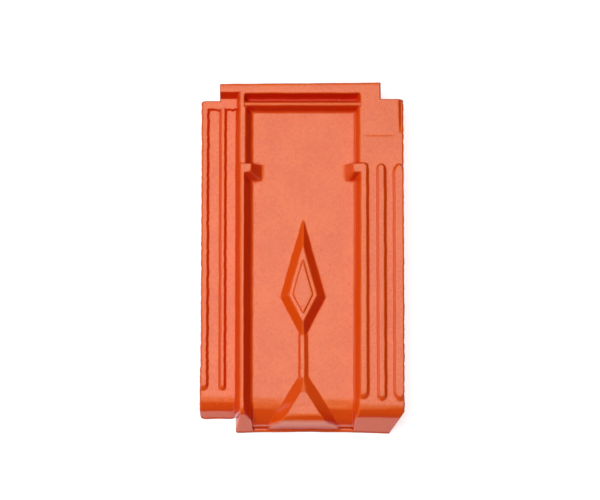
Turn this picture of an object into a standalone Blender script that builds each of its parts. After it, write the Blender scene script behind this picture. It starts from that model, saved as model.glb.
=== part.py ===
"""Interlocking roof tile of pressed, fired and glazed clay.

X runs across the tile and +Y up the roof, from the tail to the head. +Z is the weather side. The
origin is in the middle of the plane that the tail lip and the two nibs stand on.
"""
import math

import bmesh
import bpy
from mathutils import Matrix, Vector

# Overall size
TILE_LENGTH = 0.343
TILE_WIDTH = 0.198

# Heights
LIP_DROP = 0.010  # tail lip and nibs, below the underside of the pan
PAN_THICKNESS = 0.010
WALL_HEIGHT = 0.0095  # pan floor to covering strip
STRIP_THICKNESS = 0.0095
RIB_HEIGHT = 0.002
CHANNEL_DEPTH = 0.0025
PLATE_THICKNESS = 0.0085  # side plate, under its channels

# Drafts of the mould, as run for each unit of rise
WALL_DRAFT = math.tan(math.radians(18.0))
HEAD_DRAFT = math.tan(math.radians(24.0))
UNDER_DRAFT = math.tan(math.radians(25.0))
RIB_DRAFT = 1.2
RIB_HEAD_DRAFT = 0.4
RIB_TAIL_DRAFT = 1.5
PLATE_STEP_DRAFT = 0.5
LAP_RIB_DRAFT = 0.5
COVE_RADIUS = 0.0066

# Side plate with its two channels, from the left edge inwards
EDGE_RIB_WIDTH = 0.0056
CHANNEL_WIDTH = 0.009
MIDDLE_RIB_WIDTH = 0.003
CHANNEL_DRAFT = 1.0
CHANNEL_START = 0.0235  # from the head
CHANNEL_END = 0.0378  # from the tail
RIDGE_WIDTH = 0.0034

# Covering strip with its three ribs, from the pan outwards
STRIP_WIDTH = 0.0425
RIB_A_WIDTH = 0.006
GUTTER_A_WIDTH = 0.0073
RIB_B_WIDTH = 0.005
GUTTER_B_WIDTH = 0.0062
RIB_A_END = 0.0291  # from the tail
RIB_B_END = 0.0266
EDGE_REBATE_WIDTH = 0.004
EDGE_REBATE_DEPTH = 0.002
EDGE_REBATE_LENGTH = 0.0336

# Head
HEAD_LIP_WIDTH = 0.0087
GROOVE_WIDTH = 0.0096
CROSS_RIB_WIDTH = 0.003
LEFT_NOTCH_WIDTH = 0.018
LEFT_NOTCH_DEPTH = 0.015
RIGHT_NOTCH_WIDTH = 0.0222
RIGHT_NOTCH_DEPTH = 0.0168

# Hooks, where the full height of ridge and ribs begins
HOOK_FROM_HEAD = 0.0799
HOOK_LENGTH = 0.009
HOOK_REACH = 0.0067
HOOK_TAIL_SLOPE = 0.57
HOOK_LEFT_SLOPE = 0.89
HOOK_RIGHT_SLOPE = 0.68

# Lozenge, median rib and delta, along a middle line a little right of centre
AXIS_OFFSET = 0.001
DELTA_LENGTH = 0.0493
DELTA_HEAD_WIDTH = 0.0094
DELTA_TAIL_WIDTH = 0.075
DELTA_HEIGHT = 0.006
DELTA_SLOPE_RUN = 0.0091
DELTA_HEAD_RUN = 0.0154
MEDIAN_LENGTH = 0.0367
MEDIAN_WIDTH = 0.0094
MEDIAN_TOP_WIDTH = 0.0042
MEDIAN_HEIGHT = 0.0024
LOZENGE_HALF_WIDTH = 0.02185
LOZENGE_TAIL_REACH = 0.045
LOZENGE_HEAD_REACH = 0.0759
LOZENGE_HEIGHT = 0.008
LOZENGE_SLOPE_RUN = 0.0081
PANEL_MARGIN = 0.0035
PANEL_RISE = 0.0008

# Tail
NOSE_LEAN = math.tan(math.radians(24.5))
STRIP_NOSE_RADIUS = 0.014
RIDGE_NOSE_RADIUS = 0.0085
PLATE_NOSE_RADIUS = 0.0095
PLATE_SETBACK = 0.0153
PAN_NOSE_RADIUS = 0.0175
PAN_NOSE_LEAN = math.tan(math.radians(5.0))
PAN_SETBACK = 0.0055
LEDGE_HEIGHT = 0.0025
DELTA_NOSE_RADIUS = 0.008
DELTA_NOSE_LEAN = math.tan(math.radians(14.0))
DELTA_SETBACK = 0.002
CORNER_CUT_WIDTH = 0.0143
CORNER_CUT_LENGTH = 0.0207
CORNER_CUT_LEAN = math.tan(math.radians(13.0))
LEFT_CORNER_CUT = 0.0035

# Underside
LIP_THICKNESS = 0.009
PAN_WALL_THICKNESS = 0.0085
LAP_CLEARANCE = 0.001  # between the covering strip's edge and the neighbour's ridge
LAP_RIB_WIDTH = 0.006
LAP_RIB_HEIGHT = 0.002
LAP_RIB_MARGIN = 0.008
NIB_WIDTH = 0.024
NIB_LENGTH = 0.013
NIB_SPACING = 0.090
NIB_FROM_HEAD = 0.010

# Modelling allowances
BITE = 0.0006  # how far a joined form sinks into what carries it
PAST = 0.010  # how far a cutter runs past what it cuts
WELD = 0.000001
ARC_STEPS = 6

# Heights that follow
PAN_UNDER = LIP_DROP
PAN_FLOOR = PAN_UNDER + PAN_THICKNESS
STRIP_TOP = PAN_FLOOR + WALL_HEIGHT
STRIP_UNDER = STRIP_TOP - STRIP_THICKNESS
RIB_TOP = STRIP_TOP + RIB_HEIGHT
PLATE_TOP = STRIP_UNDER  # the neighbour's strip lies on it
CHANNEL_FLOOR = PLATE_TOP - CHANNEL_DEPTH
PLATE_UNDER = CHANNEL_FLOOR - PLATE_THICKNESS

# Places across the tile that follow
LEFT = -TILE_WIDTH / 2
RIGHT = TILE_WIDTH / 2
CHANNEL_SLOPE = CHANNEL_DRAFT * CHANNEL_DEPTH
CHANNEL_A = LEFT + EDGE_RIB_WIDTH + CHANNEL_SLOPE
CHANNEL_B = CHANNEL_A + CHANNEL_WIDTH + MIDDLE_RIB_WIDTH + 2 * CHANNEL_SLOPE
RIDGE_FOOT = CHANNEL_B + CHANNEL_WIDTH
RIDGE_LEFT = RIDGE_FOOT + WALL_DRAFT * (RIB_TOP - CHANNEL_FLOOR)
RIDGE_RIGHT = RIDGE_LEFT + RIDGE_WIDTH
STRIP_LEFT = RIGHT - STRIP_WIDTH
RIB_SLOPE = RIB_DRAFT * RIB_HEIGHT
RIB_B_LEFT = STRIP_LEFT + RIB_A_WIDTH + GUTTER_A_WIDTH + 2 * RIB_SLOPE
RIB_C_LEFT = RIB_B_LEFT + RIB_B_WIDTH + GUTTER_B_WIDTH + 2 * RIB_SLOPE
COVER_WIDTH = RIGHT - RIDGE_FOOT - LAP_CLEARANCE  # from one tile to the next along a course

SECTION_AXES = Matrix(((1, 0, 0, 0), (0, 0, 1, 0), (0, 1, 0, 0), (0, 0, 0, 1)))
ELEVATION_AXES = Matrix(((0, 0, 1, 0), (1, 0, 0, 0), (0, 1, 0, 0), (0, 0, 0, 1)))
PLAN_AXES = Matrix.Identity(4)


def from_head(distance):
    """Y of a place that is measured from the head edge."""
    return TILE_LENGTH / 2 - distance


def from_tail(distance):
    """Y of a place that is measured from the tail edge."""
    return distance - TILE_LENGTH / 2


def pan_wall_left(z):
    """X of the ridge's pan side at height z."""
    return RIDGE_RIGHT + WALL_DRAFT * (RIB_TOP - z)


def pan_wall_right(z):
    """X of the covering strip's pan side at height z."""
    return STRIP_LEFT - WALL_DRAFT * (RIB_TOP - z)


def fillet(before, corner, after, radius):
    """Points of an arc that rounds a corner between two straight lines."""
    corner = Vector(corner)
    incoming = Vector(before) - corner
    outgoing = Vector(after) - corner
    half_angle = incoming.angle(outgoing) / 2
    shortest = min(incoming.length, outgoing.length)
    tangent = min(radius / math.tan(half_angle), 0.95 * shortest)
    radius = tangent * math.tan(half_angle)
    start = incoming.normalized() * tangent
    end = outgoing.normalized() * tangent
    centre = (start + end).normalized() * (radius / math.sin(half_angle))
    points = []
    for step in range(ARC_STEPS + 1):
        share = step / ARC_STEPS
        ray = (start - centre).normalized().slerp((end - centre).normalized(), share)
        points.append(tuple(corner + centre + radius * ray))
    return points


def former(name, bm):
    """Turn a closed bmesh into a former, an object that only shapes the tile."""
    bmesh.ops.recalc_face_normals(bm, faces=bm.faces)
    mesh = bpy.data.meshes.new(name)
    bm.to_mesh(mesh)
    bm.free()
    obj = bpy.data.objects.new(name, mesh)
    obj.hide_render = True
    obj.display_type = "WIRE"
    bpy.data.collections["formers"].objects.link(obj)
    return obj


def extruded(name, outline, low, high, axes):
    """Extrude a flat outline from low to high along the third of its axes."""
    curve = bpy.data.curves.new(name, "CURVE")
    curve.dimensions = "2D"
    curve.fill_mode = "BOTH"
    curve.extrude = (high - low) / 2
    spline = curve.splines.new("POLY")
    spline.points.add(len(outline) - 1)
    spline.use_cyclic_u = True
    for point, place in zip(spline.points, outline):
        point.co = (*place, 0.0, 1.0)
    flat = bpy.data.objects.new(name, curve)
    bpy.context.scene.collection.objects.link(flat)
    depsgraph = bpy.context.evaluated_depsgraph_get()
    bm = bmesh.new()
    bm.from_mesh(bpy.data.meshes.new_from_object(flat.evaluated_get(depsgraph)))
    bpy.data.objects.remove(flat)
    bmesh.ops.remove_doubles(bm, verts=bm.verts, dist=WELD)
    bmesh.ops.translate(bm, verts=bm.verts, vec=(0.0, 0.0, (low + high) / 2))
    bmesh.ops.transform(bm, matrix=axes, verts=bm.verts)
    return former(name, bm)


def corner_block(name, base, top, z_base, z_top):
    """Block between two four-cornered plans, each given left tail, right tail, right head, left head."""
    order = {(-1, -1): 0, (1, -1): 1, (1, 1): 2, (-1, 1): 3}
    bm = bmesh.new()
    bmesh.ops.create_cube(bm, size=2.0)
    for vert in bm.verts:
        corner = order[(round(vert.co.x), round(vert.co.y))]
        plan, z = (top, z_top) if vert.co.z > 0 else (base, z_base)
        vert.co = (*plan[corner], z)
    return former(name, bm)


def drafted_block(name, sides, level, z_low, z_high, slopes):
    """Block whose four sides stand at level and lean in by their slopes as they rise.

    Both tuples run left, right, tail, head.
    """
    left, right, tail, head = sides

    def plan(z):
        rise = z - level
        x_left, x_right = left + slopes[0] * rise, right - slopes[1] * rise
        y_tail, y_head = tail + slopes[2] * rise, head - slopes[3] * rise
        return [(x_left, y_tail), (x_right, y_tail), (x_right, y_head), (x_left, y_head)]

    return corner_block(name, plan(z_low), plan(z_high), z_low, z_high)


def boolean_step(target, name, operation):
    """Add an empty Boolean step to an object."""
    step = target.modifiers.new(name, "BOOLEAN")
    step.operation = operation
    step.solver = "EXACT"
    return step


def common_part(target, operand):
    """Keep what an object has in common with another."""
    boolean_step(target, operand.name, "INTERSECT").object = operand
    return target


def combine(target, name, forms, operation):
    """Join a group of forms to an object, or cut them from it, in one Boolean step."""
    formers = bpy.data.collections["formers"]
    group = bpy.data.collections.new(name)
    formers.children.link(group)
    for form in forms:
        formers.objects.unlink(form)
        group.objects.link(form)
    step = boolean_step(target, name, operation)
    step.operand_type = "COLLECTION"
    step.collection = group


def nose_side(top_line, foot, lean, radius):
    """Side outline of a form that ends at the tail in a rounded nose above a leaning face.

    The top line runs from the head end as (y, z) points, and the face starts at y = foot, z = 0.
    """
    top = top_line[-1][1]
    corner = (foot + lean * top, top)
    before = (top_line[-1][0], top)
    return [(top_line[0][0], 0.0), *top_line, *fillet(before, corner, (foot, 0.0), radius), (foot, 0.0)]


def bar(name, section, side):
    """Form with one outline seen along the tile and another seen from its side."""
    xs = [point[0] for point in section]
    ys = [point[0] for point in side]
    along = extruded(name, section, min(ys) - PAST, max(ys) + PAST, SECTION_AXES)
    profile = extruded(name + "_side", side, min(xs) - PAST, max(xs) + PAST, ELEVATION_AXES)
    return common_part(along, profile)


def side_plate():
    """Left plate that the neighbouring tile's strip covers, at the height of its channels' floor."""
    section = [
        (LEFT, 0.0),
        (LEFT, CHANNEL_FLOOR),
        (RIDGE_LEFT, CHANNEL_FLOOR),
        (RIDGE_LEFT, 0.0),
    ]
    top_line = [(from_head(0.0), CHANNEL_FLOOR)]
    side = nose_side(top_line, from_tail(PLATE_SETBACK), NOSE_LEAN, PLATE_NOSE_RADIUS)
    return bar("side_plate", section, side)


def plate_forms():
    """Raised head of the side plate and the two ribs beside its channels."""
    low, high = CHANNEL_FLOOR - BITE, PLATE_TOP
    head_end = from_head(CHANNEL_START)
    rib_tail, rib_head = from_tail(CHANNEL_END), head_end + BITE
    middle = CHANNEL_B - CHANNEL_SLOPE
    ribs = {
        "edge_rib": (LEFT, LEFT + EDGE_RIB_WIDTH, rib_tail, rib_head),
        "middle_rib": (middle - MIDDLE_RIB_WIDTH, middle, rib_tail, rib_head),
    }
    sides = (LEFT, RIDGE_LEFT, head_end, from_head(0.0))
    yield drafted_block("plate_head", sides, high, low, high, (0.0, 0.0, PLATE_STEP_DRAFT, 0.0))
    for name, sides in ribs.items():
        left_draft = 0.0 if name == "edge_rib" else CHANNEL_DRAFT
        drafts = (left_draft, CHANNEL_DRAFT, RIB_TAIL_DRAFT, 0.0)
        yield drafted_block(name, sides, high, low, high, drafts)


def ridge():
    """Ridge between the side plate and the pan, lower between the head and the hooks."""
    section = [
        (RIDGE_FOOT, 0.0),
        (RIDGE_FOOT, CHANNEL_FLOOR),
        (RIDGE_LEFT, RIB_TOP),
        (RIDGE_RIGHT, RIB_TOP),
        (pan_wall_left(0.0), 0.0),
    ]
    step = from_head(HOOK_FROM_HEAD)
    top_line = [(from_head(0.0), STRIP_TOP), (step, STRIP_TOP), (step, RIB_TOP)]
    return bar("ridge", section, nose_side(top_line, from_tail(0.0), NOSE_LEAN, RIDGE_NOSE_RADIUS))


def pan():
    """Pan floor with its rounded tail."""
    section = [
        (RIDGE_RIGHT, 0.0),
        (RIDGE_RIGHT, PAN_FLOOR),
        (STRIP_LEFT, PAN_FLOOR),
        (STRIP_LEFT, 0.0),
    ]
    top_line = [(from_head(BITE), PAN_FLOOR)]
    side = nose_side(top_line, from_tail(PAN_SETBACK), PAN_NOSE_LEAN, PAN_NOSE_RADIUS)
    return bar("pan", section, side)


def tail_ledge():
    """Low ledge at the foot of the pan's tail."""
    sides = (RIDGE_RIGHT, STRIP_LEFT, from_tail(0.0), from_tail(PAN_SETBACK + PAN_THICKNESS))
    return drafted_block("tail_ledge", sides, 0.0, 0.0, LEDGE_HEIGHT, (0.0, 0.0, NOSE_LEAN, 0.0))


def covering_strip():
    """Right strip that covers the neighbouring tile's side plate."""
    section = [
        (pan_wall_right(0.0), 0.0),
        (pan_wall_right(STRIP_TOP), STRIP_TOP),
        (RIGHT, STRIP_TOP),
        (RIGHT, 0.0),
    ]
    top_line = [(from_head(0.0), STRIP_TOP)]
    side = nose_side(top_line, from_tail(0.0), NOSE_LEAN, STRIP_NOSE_RADIUS)
    return bar("covering_strip", section, side)


def strip_ribs():
    """Three ribs along the covering strip, from the hooks to the tail rounding."""
    low, high = STRIP_TOP - BITE, RIB_TOP
    head = from_head(HOOK_FROM_HEAD)
    ribs = {
        "strip_rib_a": (STRIP_LEFT, STRIP_LEFT + RIB_A_WIDTH, RIB_A_END, 0.0),
        "strip_rib_b": (RIB_B_LEFT, RIB_B_LEFT + RIB_B_WIDTH, RIB_B_END, RIB_DRAFT),
        "strip_rib_c": (RIB_C_LEFT, RIGHT, RIB_B_END, RIB_DRAFT),
    }
    for name, (left, right, end, left_draft) in ribs.items():
        right_draft = 0.0 if name == "strip_rib_c" else RIB_DRAFT
        sides = (left, right, from_tail(end), head)
        drafts = (left_draft, right_draft, RIB_TAIL_DRAFT, RIB_HEAD_DRAFT)
        yield drafted_block(name, sides, high, low, high, drafts)


def coves():
    """Hollow fillets between the pan floor and its two side walls."""
    for name, wall, inwards in (("left", pan_wall_left, 1), ("right", pan_wall_right, -1)):
        corner = (wall(PAN_FLOOR), PAN_FLOOR)
        arc = fillet((wall(RIB_TOP), RIB_TOP), corner, (0.0, PAN_FLOOR), COVE_RADIUS)
        start = (arc[0][0] - inwards * BITE, arc[0][1])
        end = (arc[-1][0], PAN_FLOOR - BITE)
        inner = (corner[0] - inwards * BITE, PAN_FLOOR - BITE)
        cove_top = arc[0][1] + BITE
        top_line = [(from_head(HEAD_LIP_WIDTH + GROOVE_WIDTH), cove_top)]
        side = nose_side(top_line, from_tail(2 * PAN_SETBACK), 0.0, PAN_NOSE_RADIUS)
        yield bar("cove_" + name, [start, *arc[1:-1], end, inner], side)


def head_rail():
    """Head lip and cross rib, still without the groove between them."""
    top_end = from_head(HEAD_LIP_WIDTH + GROOVE_WIDTH + CROSS_RIB_WIDTH)
    drop = STRIP_TOP - PAN_FLOOR + BITE
    side = [
        (from_head(0.0), 0.0),
        (from_head(0.0), STRIP_TOP),
        (top_end, STRIP_TOP),
        (top_end - HEAD_DRAFT * drop, PAN_FLOOR - BITE),
        (top_end, 0.0),
    ]
    section = [
        (RIDGE_LEFT, 0.0),
        (RIDGE_LEFT, STRIP_TOP),
        (STRIP_LEFT, STRIP_TOP),
        (STRIP_LEFT, 0.0),
    ]
    return bar("head_rail", section, side)


def left_lip():
    """Head lip over the side plate."""
    sides = (LEFT, RIDGE_LEFT + BITE, from_head(HEAD_LIP_WIDTH), from_head(0.0))
    low, high = CHANNEL_FLOOR - BITE, STRIP_TOP
    return drafted_block("left_lip", sides, high, low, high, (0.0, 0.0, HEAD_DRAFT, 0.0))


def hooks():
    """Two hooks that stand out from the pan's walls."""
    head = from_head(HOOK_FROM_HEAD)
    tail = from_head(HOOK_FROM_HEAD + HOOK_LENGTH)
    low, high = PAN_FLOOR - BITE, RIB_TOP
    left = (RIDGE_LEFT + BITE, RIDGE_RIGHT + HOOK_REACH, tail, head)
    right = (STRIP_LEFT - HOOK_REACH, STRIP_LEFT + RIB_A_WIDTH / 2, tail, head)
    yield drafted_block("hook_left", left, high, low, high, (0.0, HOOK_LEFT_SLOPE, HOOK_TAIL_SLOPE, 0.0))
    yield drafted_block("hook_right", right, high, low, high, (HOOK_RIGHT_SLOPE, 0.0, HOOK_TAIL_SLOPE, 0.0))


def delta_plan(inset, head_y):
    """Plan of the delta at the tail, its sides drawn in by inset and its blunt tip at head_y."""
    half_head, half_tail = DELTA_HEAD_WIDTH / 2, DELTA_TAIL_WIDTH / 2
    spread = (half_tail - half_head) / DELTA_LENGTH
    shift = inset * math.hypot(1.0, spread)
    half_tip = half_head + spread * (from_tail(DELTA_LENGTH) - head_y) - shift
    half_foot = half_tail - shift
    foot = from_tail(0.0)
    return [
        (AXIS_OFFSET - half_foot, foot),
        (AXIS_OFFSET + half_foot, foot),
        (AXIS_OFFSET + half_tip, head_y),
        (AXIS_OFFSET - half_tip, head_y),
    ]


def delta():
    """Raised delta that parts the water at the tail."""
    low, high = PAN_FLOOR - BITE, PAN_FLOOR + DELTA_HEIGHT
    sunk = BITE / DELTA_HEIGHT  # how far the slopes run on below the floor
    tip = from_tail(DELTA_LENGTH)
    base = delta_plan(-DELTA_SLOPE_RUN * sunk, tip + DELTA_HEAD_RUN * sunk)
    top = delta_plan(DELTA_SLOPE_RUN, tip - DELTA_HEAD_RUN)
    cap = corner_block("delta", base, top, low, high)
    side = nose_side([(tip + PAST, high)], from_tail(DELTA_SETBACK), DELTA_NOSE_LEAN, DELTA_NOSE_RADIUS)
    half_width = DELTA_TAIL_WIDTH / 2 + PAST
    profile = extruded("delta_side", side, -half_width, half_width, ELEVATION_AXES)
    return common_part(cap, profile)


def delta_foot():
    """Front of the delta below the pan floor, down to the tail ledge."""
    section = [
        (AXIS_OFFSET - DELTA_TAIL_WIDTH / 2, 0.0),
        (AXIS_OFFSET - DELTA_TAIL_WIDTH / 2 + DELTA_SLOPE_RUN, PAN_FLOOR),
        (AXIS_OFFSET + DELTA_TAIL_WIDTH / 2 - DELTA_SLOPE_RUN, PAN_FLOOR),
        (AXIS_OFFSET + DELTA_TAIL_WIDTH / 2, 0.0),
    ]
    side = [
        (from_tail(PAN_SETBACK + PAN_THICKNESS), 0.0),
        (from_tail(PAN_SETBACK + PAN_THICKNESS), PAN_FLOOR - BITE),
        (from_tail(DELTA_SETBACK) + DELTA_NOSE_LEAN * (PAN_FLOOR - BITE), PAN_FLOOR - BITE),
        (from_tail(DELTA_SETBACK), 0.0),
    ]
    return bar("delta_foot", section, side)


def median_rib():
    """Low rib that joins the lozenge to the delta."""
    half, half_top = MEDIAN_WIDTH / 2, MEDIAN_TOP_WIDTH / 2
    slope = (half - half_top) / MEDIAN_HEIGHT
    tail = from_tail(DELTA_LENGTH)
    head = tail + MEDIAN_LENGTH + LOZENGE_SLOPE_RUN
    sides = (AXIS_OFFSET - half_top, AXIS_OFFSET + half_top, tail, head)
    top = PAN_FLOOR + MEDIAN_HEIGHT
    return drafted_block("median_rib", sides, top, PAN_FLOOR - BITE, top, (slope, slope, slope, 0.0))


def lozenge_plan(inset):
    """Plan of the lozenge, drawn in by inset on all four sides."""
    head_slope = LOZENGE_HALF_WIDTH / LOZENGE_HEAD_REACH
    tail_slope = LOZENGE_HALF_WIDTH / LOZENGE_TAIL_REACH
    side = from_tail(DELTA_LENGTH + MEDIAN_LENGTH + LOZENGE_TAIL_REACH)
    head = side + LOZENGE_HEAD_REACH - inset * math.hypot(1.0, head_slope) / head_slope
    tail = side - LOZENGE_TAIL_REACH + inset * math.hypot(1.0, tail_slope) / tail_slope
    half_width = (head - tail) * head_slope * tail_slope / (head_slope + tail_slope)
    widest = head - half_width / head_slope
    return [
        (AXIS_OFFSET, tail),
        (AXIS_OFFSET + half_width, widest),
        (AXIS_OFFSET, head),
        (AXIS_OFFSET - half_width, widest),
    ]


def lozenge():
    """Raised lozenge with sloping sides, and the low panel inside its rim."""
    floor, top = PAN_FLOOR - BITE, PAN_FLOOR + LOZENGE_HEIGHT
    base_inset = -LOZENGE_SLOPE_RUN * BITE / LOZENGE_HEIGHT
    yield corner_block("lozenge", lozenge_plan(base_inset), lozenge_plan(LOZENGE_SLOPE_RUN), floor, top)
    rim = LOZENGE_SLOPE_RUN + PANEL_MARGIN
    panel_base, panel_top = lozenge_plan(rim - BITE), lozenge_plan(rim + PANEL_RISE)
    yield corner_block("lozenge_panel", panel_base, panel_top, top - BITE, top + PANEL_RISE)


def groove():
    """Cutter of the groove behind the head lip, which takes the tail hook of the tile above."""
    sides = (
        RIDGE_RIGHT,
        pan_wall_right(STRIP_TOP),
        from_head(HEAD_LIP_WIDTH + GROOVE_WIDTH),
        from_head(HEAD_LIP_WIDTH),
    )
    drafts = (-WALL_DRAFT, -WALL_DRAFT, -HEAD_DRAFT, -HEAD_DRAFT)
    return drafted_block("groove", sides, STRIP_TOP, PAN_FLOOR, STRIP_TOP + PAST, drafts)


def plan_cutter(name, outline, lean=0.0):
    """Upright cutter of a plan outline, leaning towards the tail as it rises."""
    cutter = extruded(name, outline, -PAST, RIB_TOP + PAST, PLAN_AXES)
    for vert in cutter.data.vertices:
        vert.co.y -= lean * vert.co.z
    return cutter


def outline_cuts():
    """Cutters of the two head notches and the two tail corners."""
    head, tail = from_head(-PAST), from_tail(-PAST)
    notches = {
        "left_notch": (LEFT - PAST, LEFT + LEFT_NOTCH_WIDTH, from_head(LEFT_NOTCH_DEPTH)),
        "right_notch": (RIGHT - RIGHT_NOTCH_WIDTH, RIGHT + PAST, from_head(RIGHT_NOTCH_DEPTH)),
    }
    for name, (left, right, shoulder) in notches.items():
        yield plan_cutter(name, [(left, shoulder), (right, shoulder), (right, head), (left, head)])
    reach = CORNER_CUT_LENGTH / CORNER_CUT_WIDTH
    corner = [
        (RIGHT - CORNER_CUT_WIDTH - PAST, from_tail(-PAST * reach)),
        (RIGHT + PAST, from_tail(-PAST * reach)),
        (RIGHT + PAST, from_tail(CORNER_CUT_LENGTH + PAST * reach)),
    ]
    yield plan_cutter("right_corner", corner, CORNER_CUT_LEAN)
    plate_tail = from_tail(PLATE_SETBACK)
    left_corner = [
        (LEFT - PAST, plate_tail + 2 * LEFT_CORNER_CUT + 2 * PAST),
        (LEFT - PAST, tail),
        (LEFT + LEFT_CORNER_CUT + PAST, plate_tail - 2 * PAST),
    ]
    yield plan_cutter("left_corner", left_corner)


def edge_rebate():
    """Cutter of the shallow rebate that dies out along the strip's outer edge."""
    start, end = from_head(RIGHT_NOTCH_DEPTH), from_head(RIGHT_NOTCH_DEPTH + EDGE_REBATE_LENGTH)
    fall = EDGE_REBATE_DEPTH / EDGE_REBATE_LENGTH
    side = [
        (end, STRIP_TOP),
        (start + PAST, STRIP_TOP - EDGE_REBATE_DEPTH - fall * PAST),
        (start + PAST, STRIP_TOP + PAST),
        (end, STRIP_TOP + PAST),
    ]
    return extruded("edge_rebate", side, RIGHT - EDGE_REBATE_WIDTH, RIGHT + PAST, ELEVATION_AXES)


def underside_hollows():
    """Cutters that leave the tail lip standing around a tile of even thickness."""
    head = from_head(-PAST)
    lip_back = from_tail(LIP_THICKNESS)
    plate_back = from_tail(PLATE_SETBACK + LIP_THICKNESS)
    pan_left = pan_wall_left(0.0)
    pan_right = pan_wall_right(PAN_FLOOR) + PAN_WALL_THICKNESS
    strip_back = lip_back + UNDER_DRAFT * PAN_UNDER
    hollows = {
        "under_plate": (LEFT - PAST, RIDGE_FOOT, plate_back, 0.0, PLATE_UNDER, 0.0),
        "under_ridge": (RIDGE_FOOT - BITE, pan_left + BITE, plate_back, 0.0, PAN_UNDER, 0.0),
        "under_pan": (pan_left, RIGHT + PAST, lip_back, 0.0, PAN_UNDER, 0.0),
        "under_strip": (pan_right, RIGHT + PAST, strip_back, PAN_UNDER, STRIP_UNDER, WALL_DRAFT),
    }
    for name, (left, right, tail, level, ceiling, left_draft) in hollows.items():
        drafts = (left_draft, 0.0, UNDER_DRAFT, 0.0)
        low = level - (BITE if name == "under_strip" else PAST)
        yield drafted_block(name, (left, right, tail, head), level, low, ceiling, drafts)


def nibs():
    """Two nibs that hang the tile on its batten."""
    head = from_head(NIB_FROM_HEAD)
    tail = head - NIB_LENGTH
    for name, middle in (("nib_left", -NIB_SPACING / 2), ("nib_right", NIB_SPACING / 2)):
        sides = (middle - NIB_WIDTH / 2, middle + NIB_WIDTH / 2, tail, head)
        drafts = (-WALL_DRAFT, -WALL_DRAFT, 0.0, -HEAD_DRAFT)
        yield drafted_block(name, sides, 0.0, 0.0, PAN_UNDER + BITE, drafts)


def lap_ribs():
    """Two ribs under the covering strip that lie in the neighbour's channels."""
    head = from_head(CHANNEL_START + LAP_RIB_MARGIN)
    tail = from_tail(CHANNEL_END + LAP_RIB_MARGIN)
    inset = (CHANNEL_WIDTH - LAP_RIB_WIDTH) / 2
    drafts = (-LAP_RIB_DRAFT, -LAP_RIB_DRAFT, -LAP_RIB_DRAFT, -LAP_RIB_DRAFT)
    for name, channel in (("lap_rib_a", CHANNEL_A), ("lap_rib_b", CHANNEL_B)):
        left = channel + inset + COVER_WIDTH
        sides = (left, left + LAP_RIB_WIDTH, tail, head)
        low, high = STRIP_UNDER - LAP_RIB_HEIGHT, STRIP_UNDER + BITE
        yield drafted_block(name, sides, low, low, high, drafts)


def glaze():
    """Deep orange-red glaze over the clay."""
    material = bpy.data.materials.new("orange_glaze")
    material.use_nodes = True
    shader = material.node_tree.nodes["Principled BSDF"]
    shader.inputs["Base Color"].default_value = (0.62, 0.075, 0.012, 1.0)
    shader.inputs["Roughness"].default_value = 0.28
    shader.inputs["Metallic"].default_value = 0.0
    material.diffuse_color = (0.62, 0.075, 0.012, 1.0)
    return material


def roof_tile():
    """The whole tile: the weather side's forms, then the cuts, then what stands out below."""
    tile = pan()
    tile.name = "roof_tile"
    tile.hide_render = False
    tile.display_type = "TEXTURED"
    bpy.data.collections["formers"].objects.unlink(tile)
    bpy.data.collections["glazed_roof_tile"].objects.link(tile)
    top_forms = [tail_ledge(), side_plate(), *plate_forms(), ridge(), covering_strip(), *strip_ribs()]
    top_forms += [*coves(), head_rail(), left_lip(), *hooks(), median_rib(), *lozenge()]
    top_forms += [delta_foot(), delta()]
    combine(tile, "top_forms", top_forms, "UNION")
    cuts = [groove(), *outline_cuts(), edge_rebate(), *underside_hollows()]
    combine(tile, "cuts", cuts, "DIFFERENCE")
    combine(tile, "under_forms", [*nibs(), *lap_ribs()], "UNION")
    tile.data.materials.clear()
    tile.data.materials.append(glaze())
    return tile


def main():
    """Model the tile in an emptied scene."""
    for obj in list(bpy.data.objects):
        bpy.data.objects.remove(obj, do_unlink=True)
    for name in ("glazed_roof_tile", "formers"):
        bpy.context.scene.collection.children.link(bpy.data.collections.new(name))
    roof_tile()


main()
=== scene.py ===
"""Glazed clay roof tile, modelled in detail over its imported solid.

X runs across the tile from the channelled side plate to the covering strip, +Y up the roof from the
tail to the head, and +Z out of the weather side, all in metres. Such a tile is pressed between two
halves of a mould that draw apart along Z, so each side of it is one height over every place of the
plan. Each form below gives its heights and the creases that the mesh follows. A grid is ruled along
the creases, cut to the outline, given a thickness and lifted to those heights. Its places in the
plan are then shifted a little, as pressed clay moves before it is hard.
"""

import logging
import math
from collections.abc import Callable, Iterable
from dataclasses import dataclass, field
from enum import Enum
from typing import Any

import bmesh
import bpy
import numpy as np
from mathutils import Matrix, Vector


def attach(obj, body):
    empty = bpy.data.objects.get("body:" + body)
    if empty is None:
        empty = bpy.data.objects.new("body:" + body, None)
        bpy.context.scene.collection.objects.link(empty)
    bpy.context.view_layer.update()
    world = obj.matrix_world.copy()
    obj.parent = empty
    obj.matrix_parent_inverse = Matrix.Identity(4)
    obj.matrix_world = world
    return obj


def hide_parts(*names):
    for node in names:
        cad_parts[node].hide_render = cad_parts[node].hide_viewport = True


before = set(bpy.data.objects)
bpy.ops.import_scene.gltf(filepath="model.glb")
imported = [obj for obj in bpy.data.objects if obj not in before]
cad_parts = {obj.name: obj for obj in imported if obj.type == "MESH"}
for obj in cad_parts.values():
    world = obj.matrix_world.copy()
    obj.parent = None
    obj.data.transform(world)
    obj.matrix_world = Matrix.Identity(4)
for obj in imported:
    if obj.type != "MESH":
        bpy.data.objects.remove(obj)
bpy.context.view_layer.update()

LOG = logging.getLogger("roof_tile")

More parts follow.
